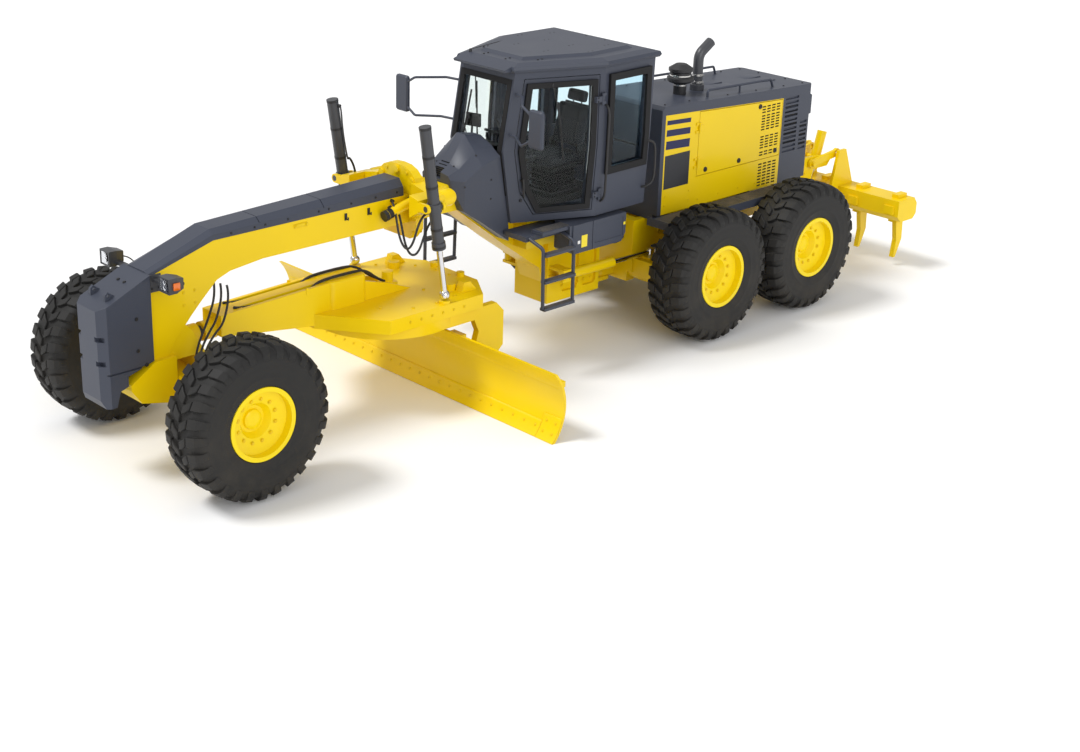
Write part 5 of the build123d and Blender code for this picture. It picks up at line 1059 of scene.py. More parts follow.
def make_headlamps():
    """Bowls, lens, amber indicator, bolts and cable of each headlamp."""
    for name, side in SIDES:
        bm = bmesh.new()
        rounded_box(bm, (-0.3605, side * 0.424, 1.804), (-0.3625, side * 0.548, 1.914), 0.0008, 1)
        bowl = turned_shape("lamp_bowl", ((0.0, 0.0), (0.02, 0.0), (0.034, 0.002), (0.043, 0.006),
                                          (0.046, 0.0075), (0.048, 0.006)))
        for z in (1.836, 1.884):
            stamp(bm, bowl, at(-0.362, side * 0.486, z), (1, 0, 0), 0.46)
        to_piece(bm, f"headlamp_bowl_{name}", "lamp_bowl", "front_frame", 40.0)
        bm = bmesh.new()
        rounded_box(bm, (-0.3665, side * 0.421, 1.801), (-0.3705, side * 0.551, 1.917), 0.0015)
        to_piece(bm, f"headlamp_lens_{name}", "lens_clear", "front_frame")
        bm = bmesh.new()
        rounded_box(bm, (-0.3335, side * 0.5645, 1.8225), (-0.2665, side * 0.5855, 1.8895), 0.006)
        to_piece(bm, f"indicator_{name}", "amber_lens", "front_frame")
        bolts(f"headlamp_bolts_{name}", "front_frame",
              [(-0.31, side * 0.1945, 1.735, name, 0.009),
               (-0.24, side * 0.1945, 1.735, name, 0.009)], "black_bolt")
        cable = [(-0.21, side * 0.47, 1.85), (-0.15, side * 0.46, 1.84), (-0.10, side * 0.38, 1.77),
                 (-0.12, side * 0.26, 1.73), (-0.16, side * 0.18, 1.72)]
        pipe_runs(f"headlamp_cable_{name}", (cable,), 0.006, "hose_rubber", "front_frame")


COVER_BOLT_AFT = (0.56, 0.82, 0.94, 1.20, 1.56, 1.68, 1.95, 2.25, 2.52)
COVER_FRONT, COVER_LENGTH = 0.36, 2.24
COVER_EDGE_Z, COVER_RISE = 2.0425, 0.02     # lower edge at its front, rise to its rear


def make_beam_trim():
    """Bolts along the cover's lower edges and on the knee, the cover's latches, hose hooks."""
    knee_rows = []
    for name, side in SIDES:
        rows = []
        for distance in COVER_BOLT_AFT:
            z = COVER_EDGE_Z + 0.024 + COVER_RISE * (distance - COVER_FRONT) / COVER_LENGTH
            y, normal = meet_side("beam_cover", distance, side * 0.6, z)
            if y:
                rows.append((distance, y, z, tuple(normal), 0.009))
        bolts(f"cover_bolts_{name}", "front_frame", rows, "black_bolt")
        bm = bmesh.new()
        for distance in (1.28, 1.40):
            rod(bm, at(distance, side * 0.178, 1.99), at(distance, side * 0.205, 1.99), 0.012, 12)
        rounded_box(bm, (1.26, side * 0.1805, 1.972), (1.42, side * 0.1925, 2.008), 0.004)
        to_piece(bm, f"cover_latch_{name}", "yellow_bolt", "front_frame")
        bm = bmesh.new()
        for distance in (1.86, 2.14):
            mid = distance + 0.015
            rounded_box(bm, (distance, side * 0.1805, 1.93), (distance + 0.03, side * 0.189, 2.0),
                        0.003)
            rod(bm, at(mid, side * 0.186, 1.945), at(mid, side * 0.225, 1.945), 0.007, 10)
            rod(bm, at(mid, side * 0.222, 1.942), at(mid, side * 0.222, 1.968), 0.007, 10)
        to_piece(bm, f"hose_hooks_{name}", "black_bolt", "front_frame")
        for distance, z in ((0.02, 1.50), (0.02, 1.62), (0.14, 1.50), (0.14, 1.62)):
            y = flat_side("front_frame", distance, side * 0.8, z)
            if y:
                knee_rows.append((distance, y, z, name, 0.012))
    bolts("knee_bolts", "front_frame", knee_rows, "yellow_bolt")


SADDLE_REAR = 2.7645
DRUM_L, DRUM_R, DRUM_BOLT_R = 0.175, 0.086, 0.044
LIFT_PIN_Y, LIFT_PIN_Z = 0.515, 2.05


def make_saddle_trim():
    """Round end of each saddle arm, the saddle's bolts, and the lock cylinder's bands."""
    drum = turned_shape("drum", ((0, DRUM_L), (0.060, DRUM_L), (0.066, 0.168), (0.066, 0.150),
                                 (0.082, 0.145), (DRUM_R, 0.135), (DRUM_R, 0.02), (0.078, 0.0),
                                 (0.0, 0.0)), 32)
    for name, side in SIDES:
        bm = bmesh.new()
        stamp(bm, drum, at(SADDLE_REAR, side * LIFT_PIN_Y, LIFT_PIN_Z), (-1, 0, 0))
        to_piece(bm, f"saddle_drum_{name}", "body_yellow", "front_frame", 30.0)
        ring = [(SADDLE_REAR + DRUM_L + 0.001, side * LIFT_PIN_Y + DRUM_BOLT_R * math.cos(turn),
                 LIFT_PIN_Z + DRUM_BOLT_R * math.sin(turn), "back", 0.008)
                for turn in turns(6)]
        face = [(SADDLE_REAR + 0.001, side * y, z, "back", 0.014)
                for y, z in ((0.245, 1.66), (0.262, 1.86), (0.272, 2.02), (0.15, 2.25))]
        face += [(SADDLE_REAR - 0.1, side * y, z, "ahead", 0.014)
                 for y, z in ((0.245, 1.66), (0.262, 1.80), (0.15, 2.25))]
        bolts(f"saddle_bolts_{name}", "front_frame", ring + face, "yellow_bolt")
    bm = bmesh.new()
    start = at(2.285, 0.262, 1.905)
    axis = at(2.685, 0.262, 2.0) - start
    for share, width, radius in ((-0.01, 0.04, 0.054), (0.10, 0.05, 0.0515), (0.82, 0.06, 0.056)):
        rod(bm, start + axis * share, start + axis * share + axis.normalized() * width, radius, 28)
    port = start + axis * 0.14
    rod(bm, port, port + Vector((0, 0, 0.075)), 0.012, 10)
    rod(bm, port + Vector((0, 0, 0.07)), port + Vector((0, 0.03, 0.085)), 0.012, 10)
    to_piece(bm, "lock_cylinder_bands", "black_bolt", "front_frame", 30.0)


LIFT_AXIS = (2.417, 2.861, 2.610, 1.624)    # aft and height of the barrel's top, of its gland
LIFT_Y = 0.70


def lift_place(z, side, out=0.0, turn=0.0):
    """Point by a lift cylinder's axis at a height, a little way off to one side."""
    top_aft, top_z, gland_aft, gland_z = LIFT_AXIS
    share = (top_z - z) / (top_z - gland_z)
    distance = top_aft + (gland_aft - top_aft) * share
    return (distance + out * math.cos(turn), side * (LIFT_Y + out * math.sin(turn)), z)


def make_lift_cylinders():
    """Bands, pipes and ports of the blade lift cylinders, and the hoses to them."""
    for name, side in SIDES:
        barrel = f"lift_barrel_{name}"
        bm = bmesh.new()
        for low, high, radius in ((2.835, 2.8605, 0.0605), (2.55, 2.575, 0.0605),
                                  (2.25, 2.275, 0.0605), (1.82, 1.845, 0.0605),
                                  (1.640, 1.66, 0.0695)):
            along = at(*lift_place(high, side)) - at(*lift_place(low, side))
            band = turned_shape("band", ((0.054, 0), (radius, 0), (radius, along.length),
                                         (0.054, along.length), (0.054, 0)), 28)
            stamp(bm, band, at(*lift_place(low, side)), along)
        for z in (2.80, 1.735):
            rod(bm, at(*lift_place(z, side, 0.05, -1.2)), at(*lift_place(z, side, 0.085, -1.2)),
                0.018, 12)
        to_piece(bm, f"{barrel}_bands", "black_bolt", barrel, 30.0)
        pipes = (
            [lift_place(2.80, side, 0.082, -1.2), lift_place(2.76, side, 0.088, -1.2),
             lift_place(2.60, side, 0.075, -1.2), lift_place(2.40, side, 0.073, -1.2),
             lift_place(2.24, side, 0.074, -0.9)],
            [lift_place(1.735, side, 0.083, -1.2), lift_place(1.76, side, 0.088, -1.1),
             lift_place(1.82, side, 0.080, -0.9), lift_place(1.87, side, 0.080, -0.9)],
        )
        pipe_runs(f"{barrel}_pipes", pipes, 0.0085, "dark_steel", barrel)
        hoses = (
            [(2.44, side * 0.19, 2.02), (2.40, side * 0.28, 2.00), (2.35, side * 0.42, 1.66),
             (2.37, side * 0.56, 1.60), lift_place(1.95, side, 0.16, -1.9),
             lift_place(1.96, side, 0.135, -0.9), lift_place(2.16, side, 0.130, -0.8),
             lift_place(2.27, side, 0.090, -0.9), lift_place(2.24, side, 0.075, -0.9)],
            [(2.50, side * 0.19, 1.96), (2.44, side * 0.30, 1.94), (2.40, side * 0.46, 1.56),
             (2.44, side * 0.58, 1.55), lift_place(1.78, side, 0.15, -1.7),
             lift_place(1.92, side, 0.125, -1.0), lift_place(1.93, side, 0.090, -0.9),
             lift_place(1.87, side, 0.080, -0.9)],
        )
        for number, hose in enumerate(hoses):
            hose_across(f"{barrel}_hose_{number}", hose, 0.0115, "front_frame")
        bm = bmesh.new()
        for distance, z in ((2.44, 2.02), (2.50, 1.96)):
            rod(bm, at(distance, side * 0.1805, z), at(distance, side * 0.215, z), 0.017, 6)
        to_piece(bm, f"{barrel}_ports", "black_bolt", "front_frame")


def make_front_hoses():
    """Hoses from the beam's underside down onto the front axle."""
    for name, side in SIDES:
        runs = []
        for n in range(3):
            y = side * (0.27 + 0.06 * n)
            top = drop_on("front_axle", 0.05, y, 1.4)
            runs.append([(0.40 + 0.05 * n, side * (0.10 + 0.03 * n), 1.62 - 0.02 * n),
                         (0.40 + 0.05 * n, side * (0.12 + 0.04 * n), 1.50),
                         (0.26 + 0.05 * n, side * (0.20 + 0.05 * n), 1.32 - 0.02 * n),
                         (0.16 + 0.02 * n, side * (0.26 + 0.06 * n), 1.24),
                         (0.08, y, 1.10), (0.05, y, top + 0.08), (0.05, y, top - 0.01)])
        pipe_runs(f"axle_hoses_{name}", runs, 0.011, "hose_rubber", "front_frame")


COWL_SLOTS, COWL_SLOT_Z, COWL_SLOT_PITCH, COWL_SLOT_HALF_W = 7, 2.086, 0.0225, 0.058
COWL_BOLTS = ((3.30, 2.02), (3.30, 2.20), (3.50, 2.30), (3.62, 2.05), (3.62, 1.85))  # aft, height


def make_cowl_trim():
    """Dark strips of painted shade for the slots of the cowl's vent, and its cover bolts."""
    bm = bmesh.new()
    for row in range(COWL_SLOTS):
        z = COWL_SLOT_Z + row * COWL_SLOT_PITCH
        hit, place, _, _ = NODES["front_cowl"].ray_cast(at(2.0, 0.0, z), (-1, 0, 0))
        if hit:
            distance = FRONT_X - place.x
            # a near-black strip of painted shade where each vent slot opens
            rounded_box(bm, (distance - 0.006, -COWL_SLOT_HALF_W, z - 0.004),
                        (distance + 0.002, COWL_SLOT_HALF_W, z + 0.004), 0)
    to_piece(bm, "cowl_slot_painted_shade", "slot_painted_shade", "front_frame")
    rows = []
    for _, side in SIDES:
        for distance, z in COWL_BOLTS:
            y, normal = meet_side("front_cowl", distance, side * 0.9, z)
            if y:
                rows.append((distance, y, z, tuple(normal), 0.008))
    bolts("cowl_bolts", "front_frame", rows, "black_bolt")


def make_mirror_faces():
    """Reflecting face of each mirror."""
    for name, side in SIDES:
        bm = bmesh.new()
        rounded_box(bm, (3.6005, side * 0.92, 2.53), (3.6035, side * 1.08, 2.87), 0.0012)
        to_piece(bm, f"mirror_face_{name}", "mirror_face", "front_frame")


PLATE_EDGE_Y, PLATE_EDGE_Z, PLATE_TOP_Z = 0.7605, 0.978, 1.0505
DRIVE_AFT, DRIVE_TOP_Z, DRIVE_BOLT_R = 2.54, 1.116, 0.083
PLATE_BOLTS = ((2.10, 0.42), (2.35, 0.62), (2.62, 0.66), (2.90, 0.62), (3.20, 0.34),
               (3.28, 0.10), (2.78, 0.28))                                     # aft, y


def make_drawbar_trim():
    """Hoses along the drawbar, and the bolts of its plate and of the turning drive."""
    hoses = [[(0.62, side * 0.087, 1.31), (0.70, side * 0.087, 1.28), (1.10, side * 0.087, 1.275),
              (1.50, side * 0.087, 1.28), (1.58, side * 0.087, 1.335), (1.72, side * 0.087, 1.352),
              (2.05, side * 0.085, 1.352), (2.20, side * 0.08, 1.33), (2.36, side * 0.06, 1.20),
              (2.46, side * 0.05, 1.15)] for _, side in SIDES]
    pipe_runs("drawbar_hoses", hoses, 0.014, "hose_rubber", "drawbar")
    rows = []
    for name, side in SIDES:
        rows += [(2.20 + step * 0.14, side * PLATE_EDGE_Y, PLATE_EDGE_Z, name, 0.012)
                 for step in range(6)]
        rows += [(distance, side * y, PLATE_TOP_Z, "up", 0.014) for distance, y in PLATE_BOLTS]
    rows += [(DRIVE_AFT + DRIVE_BOLT_R * math.cos(turn), DRIVE_BOLT_R * math.sin(turn),
              DRIVE_TOP_Z, "up", 0.008) for turn in turns(8)]
    bolts("drawbar_bolts", "drawbar", rows, "yellow_bolt")


TEETH = 78
TOOTH_RING_R, TOOTH_R, TOOTH_H = 0.655, 0.026, 0.052
CIRCLE_AFT, CIRCLE_MID_Z = 2.50, 0.8205


def make_circle_teeth():
    """Ring of gear teeth inside the circle, each narrower toward the middle."""
    tooth = bmesh.new()
    bmesh.ops.create_cone(tooth, cap_ends=True, segments=4, radius1=TOOTH_R, radius2=TOOTH_R,
                          depth=TOOTH_H, matrix=Matrix.Rotation(math.pi / 4, 4, "Z"))
    bmesh.ops.scale(tooth, vec=(0.62, 0.62, 1.0), verts=tooth.verts)
    inner = [v for v in tooth.verts if v.co.x < 0]
    bmesh.ops.scale(tooth, vec=(1.0, 0.6, 1.0), verts=inner)
    mesh = bpy.data.meshes.new("tooth")
    tooth.to_mesh(mesh)
    tooth.free()
    bm = bmesh.new()
    ring = Matrix.Translation(at(CIRCLE_AFT, 0, CIRCLE_MID_Z))
    for turn in turns(TEETH):
        shape = mesh.copy()
        shape.transform(ring @ Matrix.Rotation(turn, 4, "Z")
                        @ Matrix.Translation((TOOTH_RING_R, 0, 0)))
        bm.from_mesh(shape)
        bpy.data.meshes.remove(shape)
    to_piece(bm, "circle_teeth", "worn_steel", "circle", 20.0)


BLADE_AFT, BLADE_H, BLADE_BULGE = 2.78, 0.711, 0.145


def blade_front(z):
    """Distance aft of the blade's hollow front face at a height."""
    half = BLADE_H / 2
    radius = (half * half + BLADE_BULGE * BLADE_BULGE) / (2 * BLADE_BULGE)
    return BLADE_AFT + BLADE_BULGE - radius + math.sqrt(radius * radius - (z - half) ** 2)


EDGE_FOOT_Z = 0.004
EDGE_STEPS = 6
EDGES = (  # name, from y, to y, top, thickness
    ("cutting_edge", -1.92, 1.92, 0.150, 0.010),
    ("end_bit_left", 1.925, 2.158, 0.230, 0.012),
    ("end_bit_right", -2.158, -1.925, 0.230, 0.012),
)


def make_cutting_edge():
    """Cutting edge along the blade's foot, an end bit each side, and their bolts."""
    for name, first_y, last_y, top, thickness in EDGES:
        bm = bmesh.new()
        heights = [EDGE_FOOT_Z + (top - EDGE_FOOT_Z) * n / EDGE_STEPS
                   for n in range(EDGE_STEPS + 1)]
        column = [bm.verts.new(at(blade_front(z) - 0.0006, first_y, z)) for z in heights]
        edges = [bm.edges.new(pair) for pair in zip(column, column[1:])]
        moved = bmesh.ops.extrude_edge_only(bm, edges=edges)
        ends = [g for g in moved["geom"] if isinstance(g, bmesh.types.BMVert)]
        bmesh.ops.translate(bm, verts=ends, vec=(0, last_y - first_y, 0))
        thick = bmesh.ops.extrude_face_region(bm, geom=bm.faces[:])
        front = [g for g in thick["geom"] if isinstance(g, bmesh.types.BMVert)]
        bmesh.ops.translate(bm, verts=front, vec=(thickness, 0, 0))
        bevel_edges(bm, sharp_edges(bm.verts, 0.9), 0.002, 1)
        to_piece(bm, name, "blade_yellow", "moldboard", 40.0)
    rows = [(blade_front(0.095) - 0.011, -1.86 + step * 0.155, 0.095, (1, 0, 0.5), 0.011)
            for step in range(25)]
    rows += [(blade_front(z) - 0.013, side * y, z, (1, 0, 0.4), 0.011)
             for _, side in SIDES for y in (1.98, 2.10) for z in (0.07, 0.17)]
    bolts("cutting_edge_bolts", "moldboard", rows, "yellow_bolt")


WHEEL_NUTS = 12
NUT_CIRCLE_R = 0.205
RIM_FACE = 0.110            # of the disc, out from the rim's middle


def make_wheel_trim():
    """Nuts, hub cap and valve of each wheel."""
    cap = turned_shape("hub_cap", ((0, 0.034), (0.045, 0.034), (0.062, 0.026), (0.072, 0.020),
                                   (0.076, 0.0), (0.0, 0.0)), 32)
    for axle, name in WHEELS:
        side = dict(SIDES)[name]
        wheel = f"wheel_{axle}_{name}"
        centre = middle(f"rim_{axle}_{name}")
        face = centre.y + side * RIM_FACE
        bm = bmesh.new()
        for turn in turns(WHEEL_NUTS, 0.5):
            place = Vector((centre.x + NUT_CIRCLE_R * math.cos(turn), face + side * 0.0125,
                            centre.z + NUT_CIRCLE_R * math.sin(turn)))
            stamp(bm, BOLT, place, OUT[name], 0.015)
        to_piece(bm, f"wheel_nuts_{axle}_{name}", "yellow_bolt", wheel)
        bm = bmesh.new()
        stamp(bm, cap, (centre.x, centre.y + side * 0.0495, centre.z), OUT[name], 1.25)
        to_piece(bm, f"hub_cap_{axle}_{name}", "rim_yellow", wheel, 30.0)
        bm = bmesh.new()
        foot = Vector((centre.x + 0.27, face + side * 0.031, centre.z))
        rod(bm, foot, foot + Vector((0, side * 0.022, 0)), 0.012, 12)
        rod(bm, foot, foot + Vector((0.018, side * 0.055, 0)), 0.005, 10)
        to_piece(bm, f"tyre_valve_{axle}_{name}", "bright_steel", wheel)


# ----------------------------------------------------------------- rear machine
HOOD_Y = 0.55
EDGE_AFT, EDGE_Z = 5.99, 2.38       # front end of the side panels' top edge
EDGE_FALL, EDGE_RUN = 0.11, 2.03    # how far it falls, over which length
DECAL_IN, DECAL_OUT, DECAL_ROUND = 0.001, 0.0012, 0.0005


def hood_edge_z(distance):
    """Height of the side panels' top edge."""
    return EDGE_Z - EDGE_FALL * (distance - EDGE_AFT) / EDGE_RUN


STRIPES = ((0.060, 0.050), (0.165, 0.072), (0.290, 0.094))  # below the edge, height
STRIPE_FRONT, STRIPE_MIDDLE, STRIPE_REAR = 6.015, 6.21, 6.405
NOTICES = (  # finish, then aft, height, width and own height of each blank notice
    ("decal_yellow", ((4.50, 1.345, 0.085, 0.13), (5.10, 1.42, 0.03, 0.03))),
    ("decal_white", ((4.42, 1.345, 0.035, 0.035),)),
)


def make_stripes_and_plates():
    """Three stripes that thicken downward, a blank plate below them, and blank notices."""
    for name, side in SIDES:
        bm = bmesh.new()
        slope = Matrix.Rotation(-math.atan(EDGE_FALL / EDGE_RUN), 3, "Y")
        for below, height in STRIPES:
            top = hood_edge_z(STRIPE_MIDDLE) - below
            rounded_box(bm, (STRIPE_FRONT, side * (HOOD_Y - DECAL_IN), top - height),
                        (STRIPE_REAR, side * (HOOD_Y + DECAL_OUT), top), DECAL_ROUND, 1, slope)
        to_piece(bm, f"hood_stripes_{name}", "stripe_navy", "rear_frame")
        bm = bmesh.new()
        rounded_box(bm, (6.01, side * (HOOD_Y - DECAL_IN), 1.545),
                    (6.42, side * (HOOD_Y + DECAL_OUT), 1.925), DECAL_ROUND, 1)
        to_piece(bm, f"blank_plate_{name}", "plate_black", "rear_frame")
        for finish, rows in NOTICES:
            bm = bmesh.new()
            for distance, z, width, height in rows:
                y, _ = meet_side("ladders", distance, side * 1.3, z)
                if y and abs(y) > 0.7:
                    rounded_box(bm, (distance - width / 2, y - side * DECAL_IN, z - height / 2),
                                (distance + width / 2, y + side * DECAL_OUT, z + height / 2),
                                DECAL_ROUND, 1)
            to_piece(bm, f"skirt_{finish}_{name}", finish, "front_frame")


SLOT_BANKS = {  # what carries them: centre aft, centre height, columns, rows
    "hood_door": ((7.805, 2.190, 4, 3), (7.805, 2.036, 4, 6), (7.805, 1.806, 4, 5),
                  (7.805, 1.672, 4, 2)),
    "rear_frame": ((7.805, 1.420, 4, 8),),
}
SLOT_PITCH_Z = {"hood_door": 0.032, "rear_frame": 0.036}
SLOT_PITCH_AFT, SLOT_HALF_L, SLOT_HALF_H = 0.086, 0.0318, 0.0078
HOUSING_SLOTS = ((8.185, 1.94, 13, 0.24), (8.425, 1.78, 7, 0.13))  # aft, height, rows, length
THROAT_IN = 0.016           # how far behind the wall a throat begins


def spread(centre, count, pitch):
    """Places of equal pitch about a centre."""
    return [centre + (step - (count - 1) / 2) * pitch for step in range(count)]


def make_louvres():
    """Painted shade behind the slots of the doors, the side panels and the rear housing: a dark
    throat box in each slot.
    """
    for name, side in SIDES:
        for stem, banks in SLOT_BANKS.items():
            bm = bmesh.new()
            for mid_aft, mid_z, columns, rows in banks:
                for a in spread(mid_aft, columns, SLOT_PITCH_AFT):
                    for z in spread(mid_z, rows, SLOT_PITCH_Z[stem]):
                        rounded_box(
                            bm, (a - SLOT_HALF_L, side * (HOOD_Y - THROAT_IN), z - SLOT_HALF_H),
                            (a + SLOT_HALF_L, side * (HOOD_Y - 0.004), z + SLOT_HALF_H), 0)
            body = f"hood_door_{name}" if stem == "hood_door" else "rear_frame"
            to_piece(bm, f"louvre_throats_{stem}_{name}", "slot_painted_shade", body)
        bm = bmesh.new()
        # dark boxes of painted shade behind the rear housing's slots
        for a, mid_z, rows, length in HOUSING_SLOTS:
            y, _ = meet_side("engine_hood", a - length / 2 - 0.012, side * 1.0, mid_z + 0.011)
            out = abs(y) if y else HOOD_Y
            half = length / 2 - 0.003
            for z in spread(mid_z, rows, SLOT_PITCH_Z["rear_frame"]):
                rounded_box(bm, (a - half, side * (out - THROAT_IN), z - SLOT_HALF_H),
                            (a + half, side * (out - 0.005), z + SLOT_HALF_H), 0)
        to_piece(bm, f"housing_slot_painted_shade_{name}", "slot_painted_shade", "rear_frame")


LATCHES = ((7.93, 1.67), (7.28, 1.66), (7.60, 2.235), (6.70, 1.66))            # aft, height
PANEL_BOLTS = [(distance, z) for distance in (6.04, 6.44) for z in (1.36, 1.46)]
PANEL_BOLTS += [(distance, 1.335) for distance in (6.60, 6.95, 7.30, 7.60, 7.97)]
ROOF_PANEL_BOLTS = [(distance, y) for distance in (6.05, 6.45, 7.10, 7.60, 8.10, 8.45)
                    for y in (-0.47, 0.47)]
ROOF_PANEL_BOLTS += [(8.47, y) for y in (-0.20, 0.20)]


def make_hood_trim():
    """Latches, panel and roof bolts, and the lids on the roof, of the engine hood."""
    for name, side in SIDES:
        bm = bmesh.new()
        latch = turned_shape("latch", ((0, 0.007), (0.012, 0.007), (0.014, 0.011), (0.026, 0.009),
                                       (0.030, 0.0), (0.0, 0.0)), 28)
        for distance, z in LATCHES:
            stamp(bm, latch, at(distance, side * HOOD_Y, z), OUT[name])
        for distance, z in LATCHES:
            rounded_box(bm, (distance - 0.010, side * (HOOD_Y + 0.006), z - 0.003),
                        (distance + 0.010, side * (HOOD_Y + 0.0115), z + 0.003), 0.001, 1)
        to_piece(bm, f"hood_latches_{name}", "black_bolt", f"hood_door_{name}", 30.0)
        rows = [(distance, side * (HOOD_Y + 0.0002), z, name, 0.008)
                for distance, z in PANEL_BOLTS]
        bolts(f"hood_panel_bolts_{name}", "rear_frame", rows, "yellow_bolt")
    rows = [(distance, y, drop_on("engine_hood", distance, y), "up", 0.010)
            for distance, y in ROOF_PANEL_BOLTS]
    bolts("hood_roof_bolts", "rear_frame", rows, "black_bolt")
    bm = bmesh.new()
    for y in (-0.10, 0.12):
        for distance in (7.45, 8.15):
            z = drop_on("engine_hood", distance, y)
            rounded_box(bm, (distance - 0.14, y - 0.08, z - 0.004),
                        (distance + 0.14, y + 0.08, z + 0.006), 0.004)
    to_piece(bm, "hood_roof_lids", "cover_grey", "rear_frame")


STACK_AFT, STACK_Y = 7.0, 0.10
CLAMP_R, CLAMP_H, CLAMP_BOLT_Y = 0.062, 0.022, 0.165


def make_stack_trim():
    """Bands of the precleaner and clamps of the exhaust."""
    bm = bmesh.new()
    centre = middle("air_precleaner")
    low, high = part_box("air_precleaner")
    for share in (0.30, 0.62):
        z = low[2] + (high[2] - low[2]) * share
        hit, place, _, _ = NODES["air_precleaner"].ray_cast(
            Vector((centre.x + 1.0, centre.y, z)), (-1, 0, 0))
        if hit:
            radius = abs(place.x - centre.x) + 0.0015
            rod(bm, (centre.x, centre.y, z - 0.008), (centre.x, centre.y, z + 0.008), radius, 40)
    to_piece(bm, "precleaner_bands", "bright_steel", "rear_frame", 40.0)
    bm = bmesh.new()
    for z in (2.52, 2.60):
        rod(bm, at(STACK_AFT, STACK_Y, z), at(STACK_AFT, STACK_Y, z + CLAMP_H), CLAMP_R, 36)
        rod(bm, at(STACK_AFT - 0.03, CLAMP_BOLT_Y, z + CLAMP_H / 2),
            at(STACK_AFT + 0.03, CLAMP_BOLT_Y, z + CLAMP_H / 2), 0.005, 8)
    to_piece(bm, "exhaust_clamps", "bright_steel", "rear_frame", 40.0)


LAMP_Y, LENS_IN_Y, LENS_OUT_Y = 0.40, 0.325, 0.475


def make_rear_lamps():
    """Red and amber lenses of the rear lamp boxes."""
    for name, side in SIDES:
        for finish, low, high in (("red_lens", 2.021, 2.091), ("amber_lens", 2.125, 2.195)):
            hit, place, _, _ = NODES["engine_hood"].ray_cast(
                at(9.5, side * LAMP_Y, (low + high) / 2), (1, 0, 0))
            if not hit:
                continue
            face = FRONT_X - place.x
            bm = bmesh.new()
            rounded_box(bm, (face - 0.002, side * LENS_IN_Y, low),
                        (face + 0.007, side * LENS_OUT_Y, high), 0.003)
            to_piece(bm, f"rear_{finish}_{name}", finish, "rear_frame")


DECK_FRONT, DECK_PITCH, DECK_L = 5.80, 0.70, 0.66
DECK_IN_Y, DECK_OUT_Y = 0.59, 0.845
BAR_ROWS, BAR_COLUMNS = 10, 22
BAR_PITCH, BAR_SHIFT, BAR_ROW_PITCH = 0.029, 0.0145, 0.0245
BAR_L, BAR_W = 0.017, 0.006
RUNG_HEIGHTS = (0.766, 1.06, 1.345)


def make_decks():
    """Tread plates with raised bars on the decks, and grip strips on the steps."""
    for name, side in SIDES:
        bm = bmesh.new()
        for number in range(3):
            start = DECK_FRONT + number * DECK_PITCH
            z = drop_on("fender_decks", start + DECK_L / 2, side * 0.72, 2.5)
            rounded_box(bm, (start, side * DECK_IN_Y, z - 0.002),
                        (start + DECK_L, side * DECK_OUT_Y, z + 0.003), 0.001, 1)
            for row in range(BAR_ROWS):
                y = 0.604 + row * BAR_ROW_PITCH
                for column in range(BAR_COLUMNS):
                    a = start + 0.02 + column * BAR_PITCH + (row % 2) * BAR_SHIFT
                    if a + 0.02 > start + DECK_L:
                        continue
                    rounded_box(bm, (a, side * y, z + 0.002),
                                (a + BAR_L, side * (y + BAR_W), z + 0.0055), 0)
        to_piece(bm, f"deck_treads_{name}", "tread_plate", "rear_frame")
        bm = bmesh.new()
        for row in range(5):
            rounded_box(bm, (3.94, side * (0.655 + row * 0.028), 1.537),
                        (4.32, side * (0.667 + row * 0.028), 1.542), 0.001, 1)
        for rung_z in RUNG_HEIGHTS:
            z = drop_on("ladders", 4.05, side * 0.916, rung_z + 0.15)
            for row in range(3):
                rounded_box(bm, (3.86, side * (0.890 + row * 0.022), z - 0.001),
                            (4.24, side * (0.898 + row * 0.022), z + 0.003), 0.001, 1)
        to_piece(bm, f"step_grips_{name}", "tread_plate", "front_frame")


TANDEM_AFT, HUB_Z = 6.92, 0.74
PIVOT_BOLT_R, COVER_BOLT_R = 0.145, 0.075


def make_tandem_trim():
    """Cover bolts of the tandem cases, and bolts of the front frame's side plates."""
    rows = []
    for name, side in SIDES:
        for turn in turns(12):
            rows.append((TANDEM_AFT + PIVOT_BOLT_R * math.cos(turn), side * 0.8665,
                         HUB_Z + PIVOT_BOLT_R * math.sin(turn), name, 0.013))
        for centre in (6.50, 7.34):
            for turn in turns(6):
                rows.append((centre + COVER_BOLT_R * math.cos(turn), side * 0.8585,
                             HUB_Z + COVER_BOLT_R * math.sin(turn), name, 0.010))
            for da in (-0.10, 0.10):
                for dy in (0.70, 0.79):
                    rows.append((centre + da, side * dy, 0.9825, "up", 0.010))
    bolts("tandem_bolts", "rear_frame", rows, "yellow_bolt")
    rows = []
    for name, side in SIDES:
        for distance in (4.82, 4.98, 5.15, 5.26):
            for z in (0.62, 1.12):
                y = flat_side("front_frame", distance, side * 0.9, z)
                if y is not None:
                    rows.append((distance, y, z, name, 0.013))
    bolts("front_frame_bolts", "front_frame", rows, "yellow_bolt")


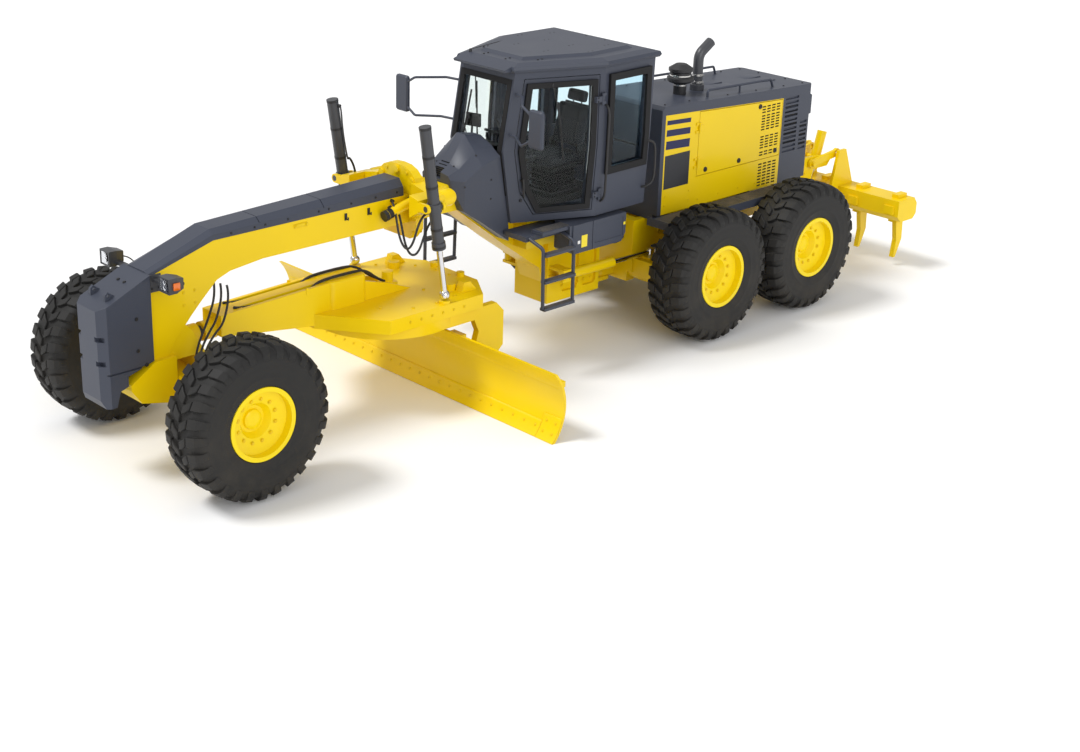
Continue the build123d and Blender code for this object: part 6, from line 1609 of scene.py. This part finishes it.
def make_hinge_hoses():
    """Hoses and cables that cross the articulation, from frame to frame."""
    for number, (y, z) in enumerate(((0.13, 1.10), (0.17, 1.02), (0.15, 1.18), (-0.13, 1.10),
                                     (-0.17, 1.02), (-0.15, 1.18))):
        points = [(5.30, y, z), (5.38, y, z + 0.01), (5.47, y * 1.25, z - 0.02),
                  (5.62, y * 1.45, z - 0.08), (5.77, y * 1.3, z - 0.03), (5.85, y, z - 0.01),
                  (5.93, y, z - 0.01)]
        hose_across(f"hinge_hose_{number}", points, 0.015, "front_frame")


def make_ripper_trim():
    """Bolts on the ripper's bracket plates and on the back of its beam."""
    rows = []
    for name, side in SIDES:
        for distance in (8.75, 8.90, 9.05):
            for z in (0.70, 0.90, 1.10):
                y = flat_side("ripper_bracket", distance, side * 1.2, z)
                if y is not None and y * side > 0:
                    rows.append((distance, y, z, name, 0.012))
    bolts("ripper_bracket_bolts", "rear_frame", rows, "yellow_bolt")
    low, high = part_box("ripper_beam")
    rows = []
    for share in (0.04, 0.25, 0.42, 0.58, 0.75, 0.96):
        y = low[1] + (high[1] - low[1]) * share
        for shift in (-0.035, 0.035):
            hit, place, normal, _ = NODES["ripper_beam"].ray_cast(
                Vector((low[0] - 0.5, y + shift, (low[2] + high[2]) / 2)), (1, 0, 0))
            if hit and abs(normal.x) > 0.9 and place.x < (low[0] + high[0]) / 2:
                rows.append((FRONT_X - place.x - 0.012, y + shift, place.z, "back", 0.012))
    bolts("ripper_beam_bolts", "ripper_beam", rows, "yellow_bolt")


def make_everything():
    """Makes every visual piece."""
    make_tyres()
    make_wheel_trim()
    make_windows()
    make_wipers()
    make_door_trim()
    make_cab_rails()
    make_roof_trim()
    make_cabin_trim()
    make_seat()
    make_push_block_trim()
    make_headlamps()
    make_beam_trim()
    make_saddle_trim()
    make_lift_cylinders()
    make_front_hoses()
    make_cowl_trim()
    make_mirror_faces()
    make_drawbar_trim()
    make_circle_teeth()
    make_cutting_edge()
    make_stripes_and_plates()
    make_louvres()
    make_hood_trim()
    make_stack_trim()
    make_rear_lamps()
    make_decks()
    make_tandem_trim()
    make_hinge_hoses()
    make_ripper_trim()


make_everything()

make_stage()
make_world()
make_lights()
make_camera()
bpy.context.scene.view_settings.view_transform = "Standard"
